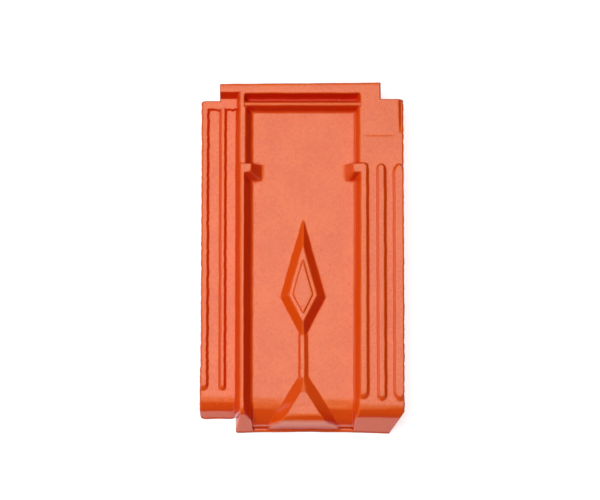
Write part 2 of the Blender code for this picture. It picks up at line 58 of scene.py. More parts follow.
FAR = 1.0  # place of a side that a form doesn't have, or a height above everything
STEEP = 0.04  # run for each unit of rise of a side that is upright on the solid
TINY = 1e-6
MERGE = 5e-5  # distance from a cut at which a vertex is taken to lie on it
RINGS = ((0.5, 1.0), (1.0, 0.5))  # rings of the glaze's disc: radius as a part of it, and weight
RING_STEPS = 8  # places on each ring
FILLET_STEPS = 4  # steps that the arc of a fillet is ruled in

Heights = np.ndarray
HeightOf = Callable[[Heights, Heights], Heights]
Pair = tuple[float, float]
Colour = tuple[float, float, float, float]

WHITE: Colour = (1.0, 1.0, 1.0, 1.0)


def slope(degrees: float) -> float:
    """Run for each unit of rise of a face that leans this far from upright."""
    return math.tan(math.radians(degrees))


def ramp(place: Heights, start: float, full: float) -> Heights:
    """Weight that is zero up to one place and runs to one at another."""
    return np.clip((place - start) / (full - start), 0.0, 1.0)


def bell(place: Heights, middle: Heights | float, width: float) -> Heights:
    """Weight that is one at the middle and dies out over a width on either side."""
    return np.exp(-(((place - middle) / width) ** 2))


def filling(difference: Heights, reach: float) -> Heights:
    """How much is filled into the corner between two surfaces, by their difference in height."""
    near = np.maximum(reach - np.abs(difference), 0.0)
    return near**2 / (4.0 * max(reach, TINY))


class Side(Enum):
    """Side of the tile, with the direction in which it lies along X."""

    LEFT = -1
    RIGHT = 1


@dataclass(frozen=True)
class Mould:
    """Places and heights that several forms share.

    Attributes:
        left, right, tail, head: the tile's four edges
        pan_under, pan_floor, channel_floor, plate_top, strip_top, rib_top: heights of the flats
        plate_edge: where the side plate meets the ridge
        plate_tail: tail edge of the side plate
        foot_step: how far past the side plate's edge the ridge's outer slope ends
        ridge_left, ridge_right, strip_left: upper edges of the walls, at the height of the ribs
        axis: middle line of the lozenge and the delta
        hook_line: where the full height of the ridge and the ribs begins
        cross_rib_tail: tail side of the rib across the pan, at its top
        wall_draft, head_draft, under_draft, nose_lean: slopes of the mould's walls
        pan_drafts: slopes of the pan's left and right wall, which the glaze makes less steep
    """

    left: float = -0.099
    right: float = 0.099
    tail: float = -0.1715
    head: float = 0.1715
    pan_under: float = 0.010
    pan_floor: float = 0.020
    channel_floor: float = 0.0175
    plate_top: float = 0.020
    strip_top: float = 0.0295
    rib_top: float = 0.0315
    plate_edge: float = -0.0649
    plate_tail: float = -0.1562
    foot_step: float = 0.0006
    ridge_left: float = -0.06035
    ridge_right: float = -0.05695
    strip_left: float = 0.0573
    axis: float = 0.001
    hook_line: float = 0.0916
    cross_rib_tail: float = 0.1502
    wall_draft: float = slope(18.0)
    head_draft: float = slope(24.0)
    under_draft: float = slope(25.0)
    nose_lean: float = slope(24.5)
    pan_drafts: Pair = (slope(31.0), slope(26.0))


@dataclass(frozen=True)
class Form:
    """One of the forms that the tile consists of.

    Attributes:
        mould: places and heights that it shares with the others
    """

    mould: Mould


@dataclass(frozen=True)
class Creases:
    """Places where the relief bends, which the grid has lines along.

    Attributes:
        across: places along X
        along: places along Y
    """

    across: tuple[float, ...] = ()
    along: tuple[float, ...] = ()

    def __add__(self, other: "Creases") -> "Creases":
        """Both sets of creases."""
        return Creases(self.across + other.across, self.along + other.along)


@dataclass(frozen=True)
class Block:
    """Flat with four drafted sides, which fall from it or rise round it.

    Attributes:
        sides: places of the left, right, tail and head side at the level of the flat
        drafts: run of each side for each unit of rise
        level: height of the flat
        sunk: whether the sides rise from the flat, as round a groove
        rounding: rise over which the corners between the sides are rounded
        arch: middle line along which the block is longest, and how strongly its ends curve
            back beside it
    """

    sides: tuple[float, float, float, float]
    drafts: tuple[float, float, float, float]
    level: float
    sunk: bool = False
    rounding: float = 0.0
    arch: Pair = (0.0, 0.0)

    def height(self, x: Heights, y: Heights) -> Heights:
        """Height of the block over places of the plan."""
        left, right, tail, head = self.sides
        across = np.maximum((left - x) / self.drafts[0], (x - right) / self.drafts[1])
        back = self.arch[1] * (x - self.arch[0]) ** 2
        along = np.maximum((tail - y + back) / self.drafts[2], (y - head + back) / self.drafts[3])
        corner = filling(across - along, self.rounding)
        fall = np.maximum(np.maximum(across, along) + corner, 0.0)
        return self.level + fall if self.sunk else self.level - fall

    def creases(self, rise: float) -> Creases:
        """Creases of the block where its sides run over a rise to their foot or rim.

        Args:
            rise: height from the flat to where the sides end

        Returns:
            Places of the flat's edges and of the far edges of its sides
        """
        places: list[list[float]] = [[], []]
        for index, (side, draft) in enumerate(zip(self.sides, self.drafts)):
            if abs(side) < FAR:
                outwards = -1 if index in (0, 2) else 1
                places[index // 2] += [side, side + outwards * draft * rise]
        return Creases(tuple(places[0]), tuple(places[1]))


def creases_of(blocks: Iterable[Block], rise: float) -> Creases:
    """Creases of blocks whose sides all run over the same rise."""
    return sum((block.creases(rise) for block in blocks), Creases())


@dataclass(frozen=True)
class Nose:
    """Rounded tail end of a form, above a leaning face.

    Attributes:
        foot: place of the face at height zero
        lean: run of the face for each unit of rise
        radius: radius of the rounding between the top and the face
        edge: how far the rounding turns down before it meets the face in an edge, in degrees, or
            zero where it runs into the face smoothly
    """

    foot: float
    lean: float
    radius: float
    edge: float = 0.0

    def crown(self, y: Heights, top: float) -> Heights:
        """Height of the rounding, which runs on straight in front of the face.

        Args:
            y: places along the tile
            top: height of the form behind its nose

        Returns:
            The height at each place
        """
        turn = math.radians(self.edge) if self.edge else math.pi / 2 - math.atan(self.lean)
        lowest = top - self.radius * (1.0 - math.cos(turn))
        past = self.foot + self.lean * lowest + self.radius * math.sin(turn) - y
        rise = np.sqrt(np.maximum(self.radius**2 - np.maximum(past, 0.0) ** 2, 0.0))
        beyond = past - self.radius * math.sin(turn)
        return np.where(beyond < 0.0, top - self.radius + rise, lowest - beyond * math.tan(turn))

    def face(self, y: Heights) -> Heights:
        """Height of the face at places along the tile."""
        return (y - self.foot) / self.lean

    def height(self, y: Heights, top: float) -> Heights:
        """Height of the nose along the tile, which falls below zero past the foot."""
        return np.minimum(self.crown(y, top), self.face(y))


def hollow_fillet(floor: Heights, wall: Heights, draft: float, radius: float) -> Heights:
    """Join a floor and a wall by a hollow arc.

    Args:
        floor: height of the floor
        wall: height of the wall's plane, which lies below the floor beyond its foot
        draft: run of the wall for each unit of rise
        radius: radius of the arc

    Returns:
        The height of floor, arc or wall at each place
    """
    turn = math.pi / 2 - math.atan(draft)
    tangent = radius * math.tan(turn / 2)
    from_foot = (floor - wall) * draft
    ahead = np.clip(from_foot - tangent, -radius * math.sin(turn), 0.0)
    arc = floor + radius - np.sqrt(radius**2 - ahead**2)
    bent = np.where(from_foot > tangent - radius * math.sin(turn), arc, wall)
    return np.where(from_foot >= tangent, floor, bent)


def joined(first: Heights, second: Heights, reach: float, highest: float) -> Heights:
    """Join two forms, with the hollow corner between them filled.

    Args:
        first, second: heights of the forms
        reach: difference in height below which the corner is filled
        highest: height that the filling doesn't rise above

    Returns:
        The height of the joined forms
    """
    higher = np.maximum(first, second)
    filled = higher + filling(first - second, reach)
    return np.maximum(higher, np.minimum(filled, highest))


def softened(height: HeightOf, x: Heights, y: Heights, reach: float) -> Heights:
    """Heights as the glaze leaves them, with every edge rounded over a small disc.

    Args:
        height: heights with sharp edges
        x, y: places of the plan
        reach: radius of the disc

    Returns:
        The mean height over the disc round each place
    """
    total, weights = height(x, y), 1.0
    for ring, weight in RINGS:
        for step in range(RING_STEPS):
            angle = math.tau * (step + ring) / RING_STEPS
            shift_x, shift_y = reach * ring * math.cos(angle), reach * ring * math.sin(angle)
            total = total + weight * height(x + shift_x, y + shift_y)
            weights += weight
    return total / weights


@dataclass(frozen=True)
class Waves:
    """Unevenness of pressed clay, as a sum of waves that run in random directions.

    Attributes:
        shortest, longest: the waves' lengths
        swing: how far they move the clay, as their root mean square
        seed: number that the directions, lengths and phases are drawn with
        count: number of waves
    """

    shortest: float
    longest: float
    swing: float
    seed: int
    count: int = 14

    def at(self, x: Heights, y: Heights) -> Heights:
        """How far the clay is moved at places of the plan."""
        draw = np.random.default_rng(self.seed)
        total = np.zeros_like(x)
        for _ in range(self.count):
            heading, phase = draw.uniform(0.0, math.tau, 2)
            length = draw.uniform(self.shortest, self.longest)
            along = x * math.cos(heading) + y * math.sin(heading)
            total += np.sin(math.tau * along / length + phase)
        return self.swing * total * math.sqrt(2.0 / self.count)


@dataclass(frozen=True)
class SidePlate(Form):
    """Left plate with two channels, on which the neighbouring tile's strip lies.

    Attributes:
        channel_head, channel_tail: ends of the channels
        edge_rib: right side of the rib along the edge
        middle_rib: left and right side of the rib between the channels
        arches: for both ribs, the middle line of their ends and how strongly these curve
        channel_draft, head_draft, tail_draft: slopes of the channels' sides and ends
        nose_radius, nose_edge: rounding of the tail, and how far it turns down
        lip_tail: tail side of the lip over the plate's head
    """

    channel_head: float = 0.148
    channel_tail: float = -0.1288
    edge_rib: float = -0.0934
    middle_rib: Pair = (-0.0794, -0.0764)
    arches: tuple[Pair, Pair] = ((-0.0965, 200.0), (-0.0779, 250.0))
    channel_draft: float = 0.8
    head_draft: float = 0.5
    tail_draft: float = 1.5
    nose_radius: float = 0.020
    nose_edge: float = 46.0
    lip_tail: float = 0.1628

    def blocks(self) -> list[Block]:
        """Ribs, raised head and, last, the lip of the plate."""
        m, low, top = self.mould, self.channel_tail, self.mould.plate_top
        drafts = (self.channel_draft, self.channel_draft, self.tail_draft, 1.0)
        edge_arch, middle_arch = self.arches
        return [
            Block((-FAR, self.edge_rib, low, FAR), drafts, top, arch=edge_arch),
            Block((*self.middle_rib, low, FAR), drafts, top, arch=middle_arch),
            Block((-FAR, FAR, self.channel_head, FAR), (1.0, 1.0, self.head_draft, 1.0), top),
            Block((-FAR, FAR, self.lip_tail, FAR), (1.0, 1.0, m.head_draft, 1.0), m.strip_top),
        ]

    def height(self, x: Heights, y: Heights) -> Heights:
        """Height of the plate, which the ribs follow where it droops, and of its lip."""
        m = self.mould
        *ribs, lip = self.blocks()
        nose = Nose(m.plate_tail, m.nose_lean, self.nose_radius, self.nose_edge)
        floor = nose.height(y, m.channel_floor)
        relief = np.maximum.reduce([rib.height(x, y) for rib in ribs]) - m.channel_floor
        return np.maximum(floor + np.maximum(relief, 0.0), lip.height(x, y))

    def creases(self) -> Creases:
        """Creases of the ribs, the channels' ends and the lip."""
        m = self.mould
        *ribs, lip = self.blocks()
        found = creases_of(ribs, m.plate_top - m.channel_floor)
        return found + lip.creases(m.strip_top - m.plate_top)


@dataclass(frozen=True)
class Ridge(Form):
    """Ridge between the side plate and the pan.

    Attributes:
        nose_radius: rounding of the tail
        step_draft: slope of the step where the full height begins
    """

    nose_radius: float = 0.0085
    step_draft: float = 0.3

    def height(self, x: Heights, y: Heights) -> Heights:
        """Height of the ridge's outer slope and top. Its inner side belongs to the pan."""
        m = self.mould
        foot = m.plate_edge - m.foot_step
        side = m.channel_floor + (x - m.plate_edge) / m.wall_draft
        below = m.channel_floor + (x - foot) / STEEP
        side = np.where(x < foot, np.minimum(below, side), side)
        flank = (x - m.plate_edge) * m.rib_top / (m.ridge_left - m.plate_edge)
        side = np.where(y < m.plate_tail, np.minimum(flank, side), side)
        step = m.strip_top + (m.hook_line - y) / self.step_draft
        nose = Nose(m.tail, m.nose_lean, self.nose_radius).height(y, m.rib_top)
        return np.minimum.reduce([side, np.clip(step, m.strip_top, m.rib_top), nose])

    def creases(self) -> Creases:
        """Creases of the ridge's foot, top and step."""
        m = self.mould
        return Creases((m.plate_edge, m.ridge_left, m.ridge_right), (m.hook_line,))


@dataclass(frozen=True)
class Pan(Form):
    """Pan floor with its two walls, the hollow fillets at their feet and the rounded tail.

    Attributes:
        coves: radii of the fillets between the floor and the left, right and head wall
        setback: how far the tail face stands back from the ledge below it
        nose_radius, nose_edge: rounding of the tail, and how far it turns down
        ledge: height of the ledge
        step: rise of the fillets over which the step beside the drooping floor runs
    """

    coves: tuple[float, float, float] = (0.0050, 0.0038, 0.0040)
    setback: float = 0.0046
    nose_radius: float = 0.040
    nose_edge: float = 46.0
    ledge: float = 0.0025
    step: float = 0.0008

    def floor(self, y: Heights) -> Heights:
        """Height of the floor, its rounded tail and the ledge along the tail."""
        m = self.mould
        nose = Nose(m.tail + self.setback, STEEP, self.nose_radius, self.nose_edge)
        foot = np.minimum(self.ledge, (y - m.tail) / m.nose_lean)
        return np.maximum(nose.height(y, m.pan_floor), foot)

    def height(self, x: Heights, y: Heights) -> Heights:
        """Height of floor, fillets and walls. The walls run on above their tops.

        Where the floor droops at the tail, the fillets end in a step beside it.
        """
        m = self.mould
        floor = self.floor(y)
        left, right, head = self.coves
        left_draft, right_draft = m.pan_drafts
        walls = (
            (m.rib_top - (x - m.ridge_right) / left_draft, left_draft, left),
            (m.rib_top - (m.strip_left - x) / right_draft, right_draft, right),
            (m.strip_top - (m.cross_rib_tail - y) / m.head_draft, m.head_draft, head),
        )
        level = np.full_like(x, m.pan_floor)
        relief = np.maximum.reduce([hollow_fillet(level, *wall) for wall in walls]) - level
        return floor + relief + (level - floor) * ramp(relief, 0.0, self.step)

    def bends(self, draft: float, rise: float, radius: float) -> list[float]:
        """Distances from a wall's top at which the fillet at its foot bends."""
        turn = math.pi / 2 - math.atan(draft)
        run = draft * rise + radius * math.tan(turn / 2)
        steps = range(FILLET_STEPS + 1)
        return [run - radius * math.sin(turn * step / FILLET_STEPS) for step in steps]

    def creases(self) -> Creases:
        """Creases along the fillets."""
        m = self.mould
        left, right, head = self.coves
        rise = m.rib_top - m.pan_floor
        left_draft, right_draft = m.pan_drafts
        across = [m.ridge_right + bend for bend in self.bends(left_draft, rise, left)]
        across += [m.strip_left - bend for bend in self.bends(right_draft, rise, right)]
        rail = self.bends(m.head_draft, m.strip_top - m.pan_floor, head)
        along = [m.cross_rib_tail - bend for bend in rail[::2]]
        return Creases(tuple(across), (m.tail + self.setback, *along))


@dataclass(frozen=True)
class CoveringStrip(Form):
    """Right strip, which covers the neighbouring tile's side plate, with its three ribs.

    Attributes:
        rib_a: right side of the rib along the pan
        rib_b: left and right side of the middle rib
        rib_c: left side of the rib along the edge
        tail_a, tail_b: tail ends of the first rib and of the other two
        lag: how much nearer to the tail the other two begin than the first
        arches: for each rib, the middle line of its tail end and how strongly that curves
        rib_draft, head_draft, tail_draft: slopes of the ribs
        nose_radius, nose_edge: rounding of the tail, and how far it turns down
        rebate: where the rebate along the edge begins, dies out and is deepest, and its depth
        seam: place along Y, depth and width of the mould's seam across the strip
        seam_skew: how much it shifts towards the head for each unit to the right
        seam_ends, seam_fade: where it ends on the left and right, and how far it fades there
        head_lines: distances from the hook line of two more creases over the ribs' head ends
    """

    rib_a: float = 0.0625
    rib_b: Pair = (0.0746, 0.0796)
    rib_c: float = 0.0906
    tail_a: float = -0.1396
    tail_b: float = -0.1412
    lag: float = 0.0014
    arches: tuple[Pair, Pair, Pair] = ((0.0595, 200.0), (0.0771, 200.0), (0.0945, 200.0))
    rib_draft: float = 1.2
    head_draft: float = 0.4
    tail_draft: float = 2.2
    nose_radius: float = 0.0155
    nose_edge: float = 56.0
    rebate: tuple[float, float, float, float] = (0.0945, 0.1211, 0.1547, 0.0020)
    seam: tuple[float, float, float] = (0.1192, 0.00027, 0.0004)
    seam_skew: float = 0.004
    seam_ends: Pair = (0.0585, 0.0915)
    seam_fade: float = 0.003
    head_lines: Pair = (0.0015, 0.0030)

    def blocks(self) -> list[Block]:
        """The three ribs."""
        m = self.mould
        later = m.hook_line - self.lag
        sides = (
            (-FAR, self.rib_a, self.tail_a, m.hook_line),
            (*self.rib_b, self.tail_b, later),
            (self.rib_c, FAR, self.tail_b, later),
        )
        drafts = (self.rib_draft, self.rib_draft, self.tail_draft, self.head_draft)
        return [Block(rib, drafts, m.rib_top, arch=arch) for rib, arch in zip(sides, self.arches)]

    def height(self, x: Heights, y: Heights) -> Heights:
        """Height of the strip and its ribs. Its inner side belongs to the pan."""
        m = self.mould
        nose = Nose(m.tail, m.nose_lean, self.nose_radius, self.nose_edge)
        side, start, deepest, depth = self.rebate
        fall = depth * np.sqrt(ramp(y, start, deepest))
        flat = nose.height(y, m.strip_top) - fall * ramp(x, side, side + depth)
        seam, groove, width = self.seam
        left, right = self.seam_ends
        ends = ramp(x, left, left + self.seam_fade) * ramp(x, right, right - self.seam_fade)
        flat -= groove * bell(y, seam + self.seam_skew * (x - m.strip_left), width) * ends
        relief = np.maximum.reduce([rib.height(x, y) for rib in self.blocks()]) - m.strip_top
        return flat + np.maximum(relief, 0.0)

    def creases(self) -> Creases:
        """Creases of the ribs, the rebate and the seam."""
        m = self.mould
        side, start, _, depth = self.rebate
        wall_top = m.strip_left - m.pan_drafts[1] * (m.rib_top - m.strip_top)
        bent = (m.hook_line - gap for gap in self.head_lines)
        found = Creases((m.strip_left, wall_top, side, side + depth), (start, self.seam[0], *bent))
        return found + creases_of(self.blocks(), m.rib_top - m.strip_top)


@dataclass(frozen=True)
class Head(Form):
    """Head lip, the groove behind it and the rib across the pan.

    Attributes:
        groove: tail and head side of the groove's floor
        groove_ends: left and right end of the groove's floor
        rounding: rise over which the groove's corners are rounded
        crown_half, crown_fall: half width of the cross rib's top, and how far its edges lie lower
        crown_reach: distance from its middle, in half widths, up to which the top is rounded
    """

    groove: Pair = (0.15743, 0.15857)
    groove_ends: Pair = (-0.05386, 0.0540)
    rounding: float = 0.006
    crown_half: float = 0.0016
    crown_fall: float = 0.0007
    crown_reach: float = 1.5

    def rail(self) -> Block:
        """Lip and cross rib, still in one."""
        m = self.mould
        sides = (m.ridge_left, m.strip_left, m.cross_rib_tail, FAR)
        return Block(sides, (STEEP, STEEP, m.head_draft, 1.0), m.strip_top)

    def hollow(self) -> Block:
        """Groove, as the height of its floor and walls."""
        m = self.mould
        drafts = (m.wall_draft, m.wall_draft, m.head_draft, m.head_draft)
        sides = (*self.groove_ends, *self.groove)
        return Block(sides, drafts, m.pan_floor, sunk=True, rounding=self.rounding)

    def crown(self, x: Heights, y: Heights) -> Heights:
        """Height that the rounded cross rib stays below."""
        m = self.mould
        from_middle = (y - m.cross_rib_tail - self.crown_half) / self.crown_half
        crown = m.strip_top - self.crown_fall * from_middle**2
        on_rib = (np.abs(from_middle) < self.crown_reach) & (x > m.ridge_right)
        return np.where(on_rib & (x < m.strip_left), crown, FAR)

    def creases(self) -> Creases:
        """Creases of the groove and the cross rib."""
        rise = self.mould.strip_top - self.mould.pan_floor
        return self.hollow().creases(rise) + Creases((), self.rail().creases(rise).along)


@dataclass(frozen=True)
class Hook(Form):
    """Hook that stands out from a wall of the pan where the ribs begin.

    Attributes:
        side: wall that it stands on
        reach: how far its top stands out from the wall's top
        length: length of its top
        side_slope, tail_slope: run of its sides for each unit of rise
        rounding: rise over which its corners are rounded
        root, root_draft: how far the right hook's top reaches into the covering strip, and the
            slope of its end there
    """

    side: Side
    reach: float = 0.0067
    length: float = 0.009
    side_slope: float = 0.89
    tail_slope: float = 0.57
    rounding: float = 0.005
    root: float = 0.003
    root_draft: float = 1.2

    def block(self) -> Block:
        """The hook, with the side towards the wall left open."""
        m = self.mould
        if self.side is Side.LEFT:
            sides = (m.ridge_left, m.ridge_right + self.reach)
            drafts = (m.wall_draft, self.side_slope)
        else:
            sides = (m.strip_left - self.reach, m.strip_left + self.root)
            drafts = (self.side_slope, self.root_draft)
        sides += (m.hook_line - self.length, m.hook_line)
        drafts += (self.tail_slope, STEEP)
        return Block(sides, drafts, m.rib_top, rounding=self.rounding)

    def creases(self) -> Creases:
        """Creases of the hook's top and foot."""
        m = self.mould
        found = self.block().creases(m.rib_top - m.pan_floor)
        in_pan = found.across[2:] if self.side is Side.LEFT else found.across[:2]
        return Creases(in_pan, found.along)


@dataclass(frozen=True)
class Facet:
    """Sloping plane, as the inward distance from a line of the plan.

    Attributes:
        start: a place on the line
        inwards: unit direction in which the plane rises
    """

    start: Pair
    inwards: Pair

    @staticmethod
    def between(first: Pair, second: Pair) -> "Facet":
        """Facet whose line runs from a first place to a second, and which rises to its left."""
        run = Vector(second) - Vector(first)
        return Facet(first, (-run.y / run.length, run.x / run.length))

    def inside(self, x: Heights, y: Heights) -> Heights:
        """Distance inwards from the line."""
        return (x - self.start[0]) * self.inwards[0] + (y - self.start[1]) * self.inwards[1]


@dataclass(frozen=True)
class Lozenge(Form):
    """Raised lozenge in the pan, with a low panel inside its rim.

    Attributes:
        tail_tip, head_tip, widest: places of its corners along Y
        half_width: half its width at the foot
        rise, run: height and width of its slopes
        tip_rounding: distance from a facet to the next below which the tips are rounded
        margin: width of the rim round the panel
        panel_rise: height of the panel above the rim
    """

    tail_tip: float = -0.0835
    head_tip: float = 0.0388
    widest: float = -0.0405
    half_width: float = 0.02185
    rise: float = 0.008
    run: float = 0.0075
    tip_rounding: float = 0.0018
    margin: float = 0.0035
    panel_rise: float = 0.0008

    def facets(self) -> list[Facet]:
        """The four slopes, from the right tail side anticlockwise."""
        axis = self.mould.axis
        corners = [
            (axis, self.tail_tip),
            (axis + self.half_width, self.widest),
            (axis, self.head_tip),
            (axis - self.half_width, self.widest),
        ]
        return [Facet.between(corners[i], corners[(i + 1) % 4]) for i in range(4)]

    def height(self, x: Heights, y: Heights) -> Heights:
        """Height of slopes, rim and panel."""
        distances = [facet.inside(x, y) for facet in self.facets()]
        right_tail, right_head, left_head, left_tail = distances
        head = -joined(-right_head, -left_head, self.tip_rounding, FAR)
        tail = -joined(-right_tail, -left_tail, self.tip_rounding, FAR)
        inside = np.minimum(head, tail)
        slopes = np.minimum(inside * self.rise / self.run, self.rise)
        panel = np.clip(inside - self.run - self.margin, 0.0, self.panel_rise)
        return self.mould.pan_floor + slopes + panel

    def bends(self) -> tuple[float, ...]:
        """Distances inwards at which the relief bends."""
        rim = self.run + self.margin
        return (0.0, self.run, rim, rim + self.panel_rise)

    def creases(self) -> Creases:
        """Creases through the lozenge's corners."""
        return Creases((self.mould.axis,), (self.widest,))


@dataclass(frozen=True)
class Delta(Form):
    """Raised delta that parts the water at the tail, and the low rib that leads to it.

    Attributes:
        tip: head end of the delta
        tip_width, tail_width: its widths at the two ends
        rise, run, tip_run: height of its flat and widths of its slopes
        setback, nose_lean: place and slope of its tail face
        nose_radius, nose_edge: rounding above that face, and how far it turns down
        rib_top: left and right edge of the median rib's top, from the axis
        rib_foot: half width of its foot
        rib_rise: its height
        rib_head: head end of the median rib, inside the lozenge
        rib_lap, rib_tail_draft: how far it runs into the delta, and the slope of its end there
    """

    tip: float = -0.1190
    tip_width: float = 0.0094
    tail_width: float = 0.075
    rise: float = 0.006
    run: float = 0.0106
    tip_run: float = 0.0172
    setback: float = 0.0024
    nose_radius: float = 0.0112
    nose_edge: float = 45.0
    nose_lean: float = slope(11.5)
    rib_top: Pair = (-0.0030, 0.0009)
    rib_foot: float = 0.0046
    rib_rise: float = 0.0024
    rib_head: float = -0.0774
    rib_lap: float = 0.001
    rib_tail_draft: float = 0.5

    def facets(self) -> list[Facet]:
        """Left and right slope of the delta."""
        m = self.mould
        half_tip, half_tail = self.tip_width / 2, self.tail_width / 2
        left = Facet.between((m.axis - half_tip, self.tip), (m.axis - half_tail, m.tail))
        right = Facet.between((m.axis + half_tail, m.tail), (m.axis + half_tip, self.tip))
        return [left, right]

    def rib(self) -> Block:
        """Median rib."""
        m = self.mould
        left, right = self.rib_top
        drafts = ((self.rib_foot + left) / self.rib_rise, (self.rib_foot - right) / self.rib_rise)
        sides = (m.axis + left, m.axis + right, self.tip - self.rib_lap, self.rib_head)
        return Block(sides, (*drafts, self.rib_tail_draft, STEEP), m.pan_floor + self.rib_rise)

    def height(self, x: Heights, y: Heights, floor: Heights) -> Heights:
        """Height of the delta, its tail face and the median rib.

        Args:
            x, y: places of the plan
            floor: height of the pan's floor, which droops at the tail, at those places

        Returns:
            The height at each place, which is zero beside the delta
        """
        m = self.mould
        left, right = (facet.inside(x, y) for facet in self.facets())
        lowest = self.rib_rise / self.rise
        tip = np.where(y < self.tip, lowest + (1.0 - lowest) * (self.tip - y) / self.tip_run, 0.0)
        way_up = np.minimum(np.minimum(left, right) / self.run, tip)
        nose = Nose(m.tail + self.setback, self.nose_lean, self.nose_radius, self.nose_edge)
        cap = np.maximum(nose.crown(y, m.pan_floor + self.rise), floor)
        delta = np.minimum(floor + np.clip(way_up, 0.0, 1.0) * (cap - floor), nose.face(y))
        return np.maximum(np.where(way_up > 0.0, delta, 0.0), self.rib().height(x, y))

    def creases(self) -> Creases:
        """Creases of the median rib and of the delta's ends."""
        m = self.mould
        across = tuple(m.axis + offset for offset in (-self.rib_foot, *self.rib_top, self.rib_foot))
        return Creases(across, (self.tip, self.tip - self.tip_run))


@dataclass(frozen=True)
class Underside(Form):
    """Hollows below the tile, the lip along its tail, its nibs and its lap ribs.

    Attributes:
        lip: thickness of the tail lip
        plate_under, strip_under: heights of the undersides of plate and strip
        ridge_foot: right side of the ridge's underside
        strip_wall: foot of the wall below the covering strip
        nib_spacing, nib_width: distance between the nibs' middles, and their width
        nib_tail, nib_head: ends of the nibs
        lap_ribs: left and right sides of the ribs that lie in the neighbour's channels
        lap_ends: tail and head end of those ribs
        lap_rise: their height
        lap_draft: their slope
        hollow_rounding, nib_rounding, lap_rounding: rise over which the corners of the strip's
            hollow, of the nibs and of the lap ribs are rounded
    """

    lip: float = 0.009
    plate_under: float = 0.009
    strip_under: float = 0.020
    ridge_foot: float = -0.0467
    strip_wall: float = 0.06126
    nib_spacing: float = 0.090
    nib_width: float = 0.024
    nib_tail: float = 0.1485
    nib_head: float = 0.1615
    lap_ribs: tuple[Pair, ...] = ((0.0735, 0.0795), (0.0905, 0.0965))
    lap_ends: Pair = (-0.1257, 0.140)
    lap_rise: float = 0.002
    lap_draft: float = 0.5
    hollow_rounding: float = 0.003
    nib_rounding: float = 0.004
    lap_rounding: float = 0.003

    def hollows(self) -> list[Block]:
        """Hollows under plate, ridge, pan and strip."""
        m = self.mould
        draft = m.under_draft
        plate_back = m.plate_tail + self.lip
        back = m.tail + self.lip
        ceilings = (
            (-FAR, m.plate_edge, plate_back, self.plate_under, STEEP),
            (m.plate_edge - m.foot_step, self.ridge_foot, plate_back, m.pan_under, STEEP),
            (self.ridge_foot, FAR, back, m.pan_under, STEEP),
        )
        found = [
            Block((left, right, tail + draft * top, FAR), (steep, steep, draft, 1.0), top)
            for left, right, tail, top, steep in ceilings
        ]
        wall = self.strip_wall + m.wall_draft * (self.strip_under - m.pan_under)
        sides = (wall, FAR, back + draft * self.strip_under, FAR)
        drafts = (m.wall_draft, 1.0, draft, 1.0)
        found.append(Block(sides, drafts, self.strip_under, rounding=self.hollow_rounding))
        return found

    def feet(self) -> list[Block]:
        """Nibs and lap ribs."""
        m = self.mould
        half, away = self.nib_width / 2, self.nib_spacing / 2
        drafts = (m.wall_draft, m.wall_draft, STEEP, m.head_draft)
        found = []
        for middle in (-away, away):
            sides = (middle - half, middle + half, self.nib_tail, self.nib_head)
            found.append(Block(sides, drafts, 0.0, sunk=True, rounding=self.nib_rounding))
        drafts = (self.lap_draft,) * 4
        level = self.strip_under - self.lap_rise
        for rib in self.lap_ribs:
            sides = (*rib, *self.lap_ends)
            found.append(Block(sides, drafts, level, sunk=True, rounding=self.lap_rounding))
        return found

    def height(self, x: Heights, y: Heights) -> Heights:
        """Height of the underside."""
        under = np.zeros_like(x)
        for hollow in self.hollows():
            under = np.maximum(under, hollow.height(x, y))
        for foot in self.feet():
            under = np.minimum(under, foot.height(x, y))
        return under

    def creases(self) -> Creases:
        """Creases of the hollows, nibs and lap ribs."""
        hollows = self.hollows()
        found = Creases()
        for hollow in hollows:
            found += Creases((), hollow.creases(hollow.level).along)
        found += Creases(hollows[-1].creases(self.strip_under - self.mould.pan_under).across)
        for foot in self.feet():
            rise = self.mould.pan_under if foot.level == 0.0 else self.lap_rise
            found += foot.creases(rise)
        return found


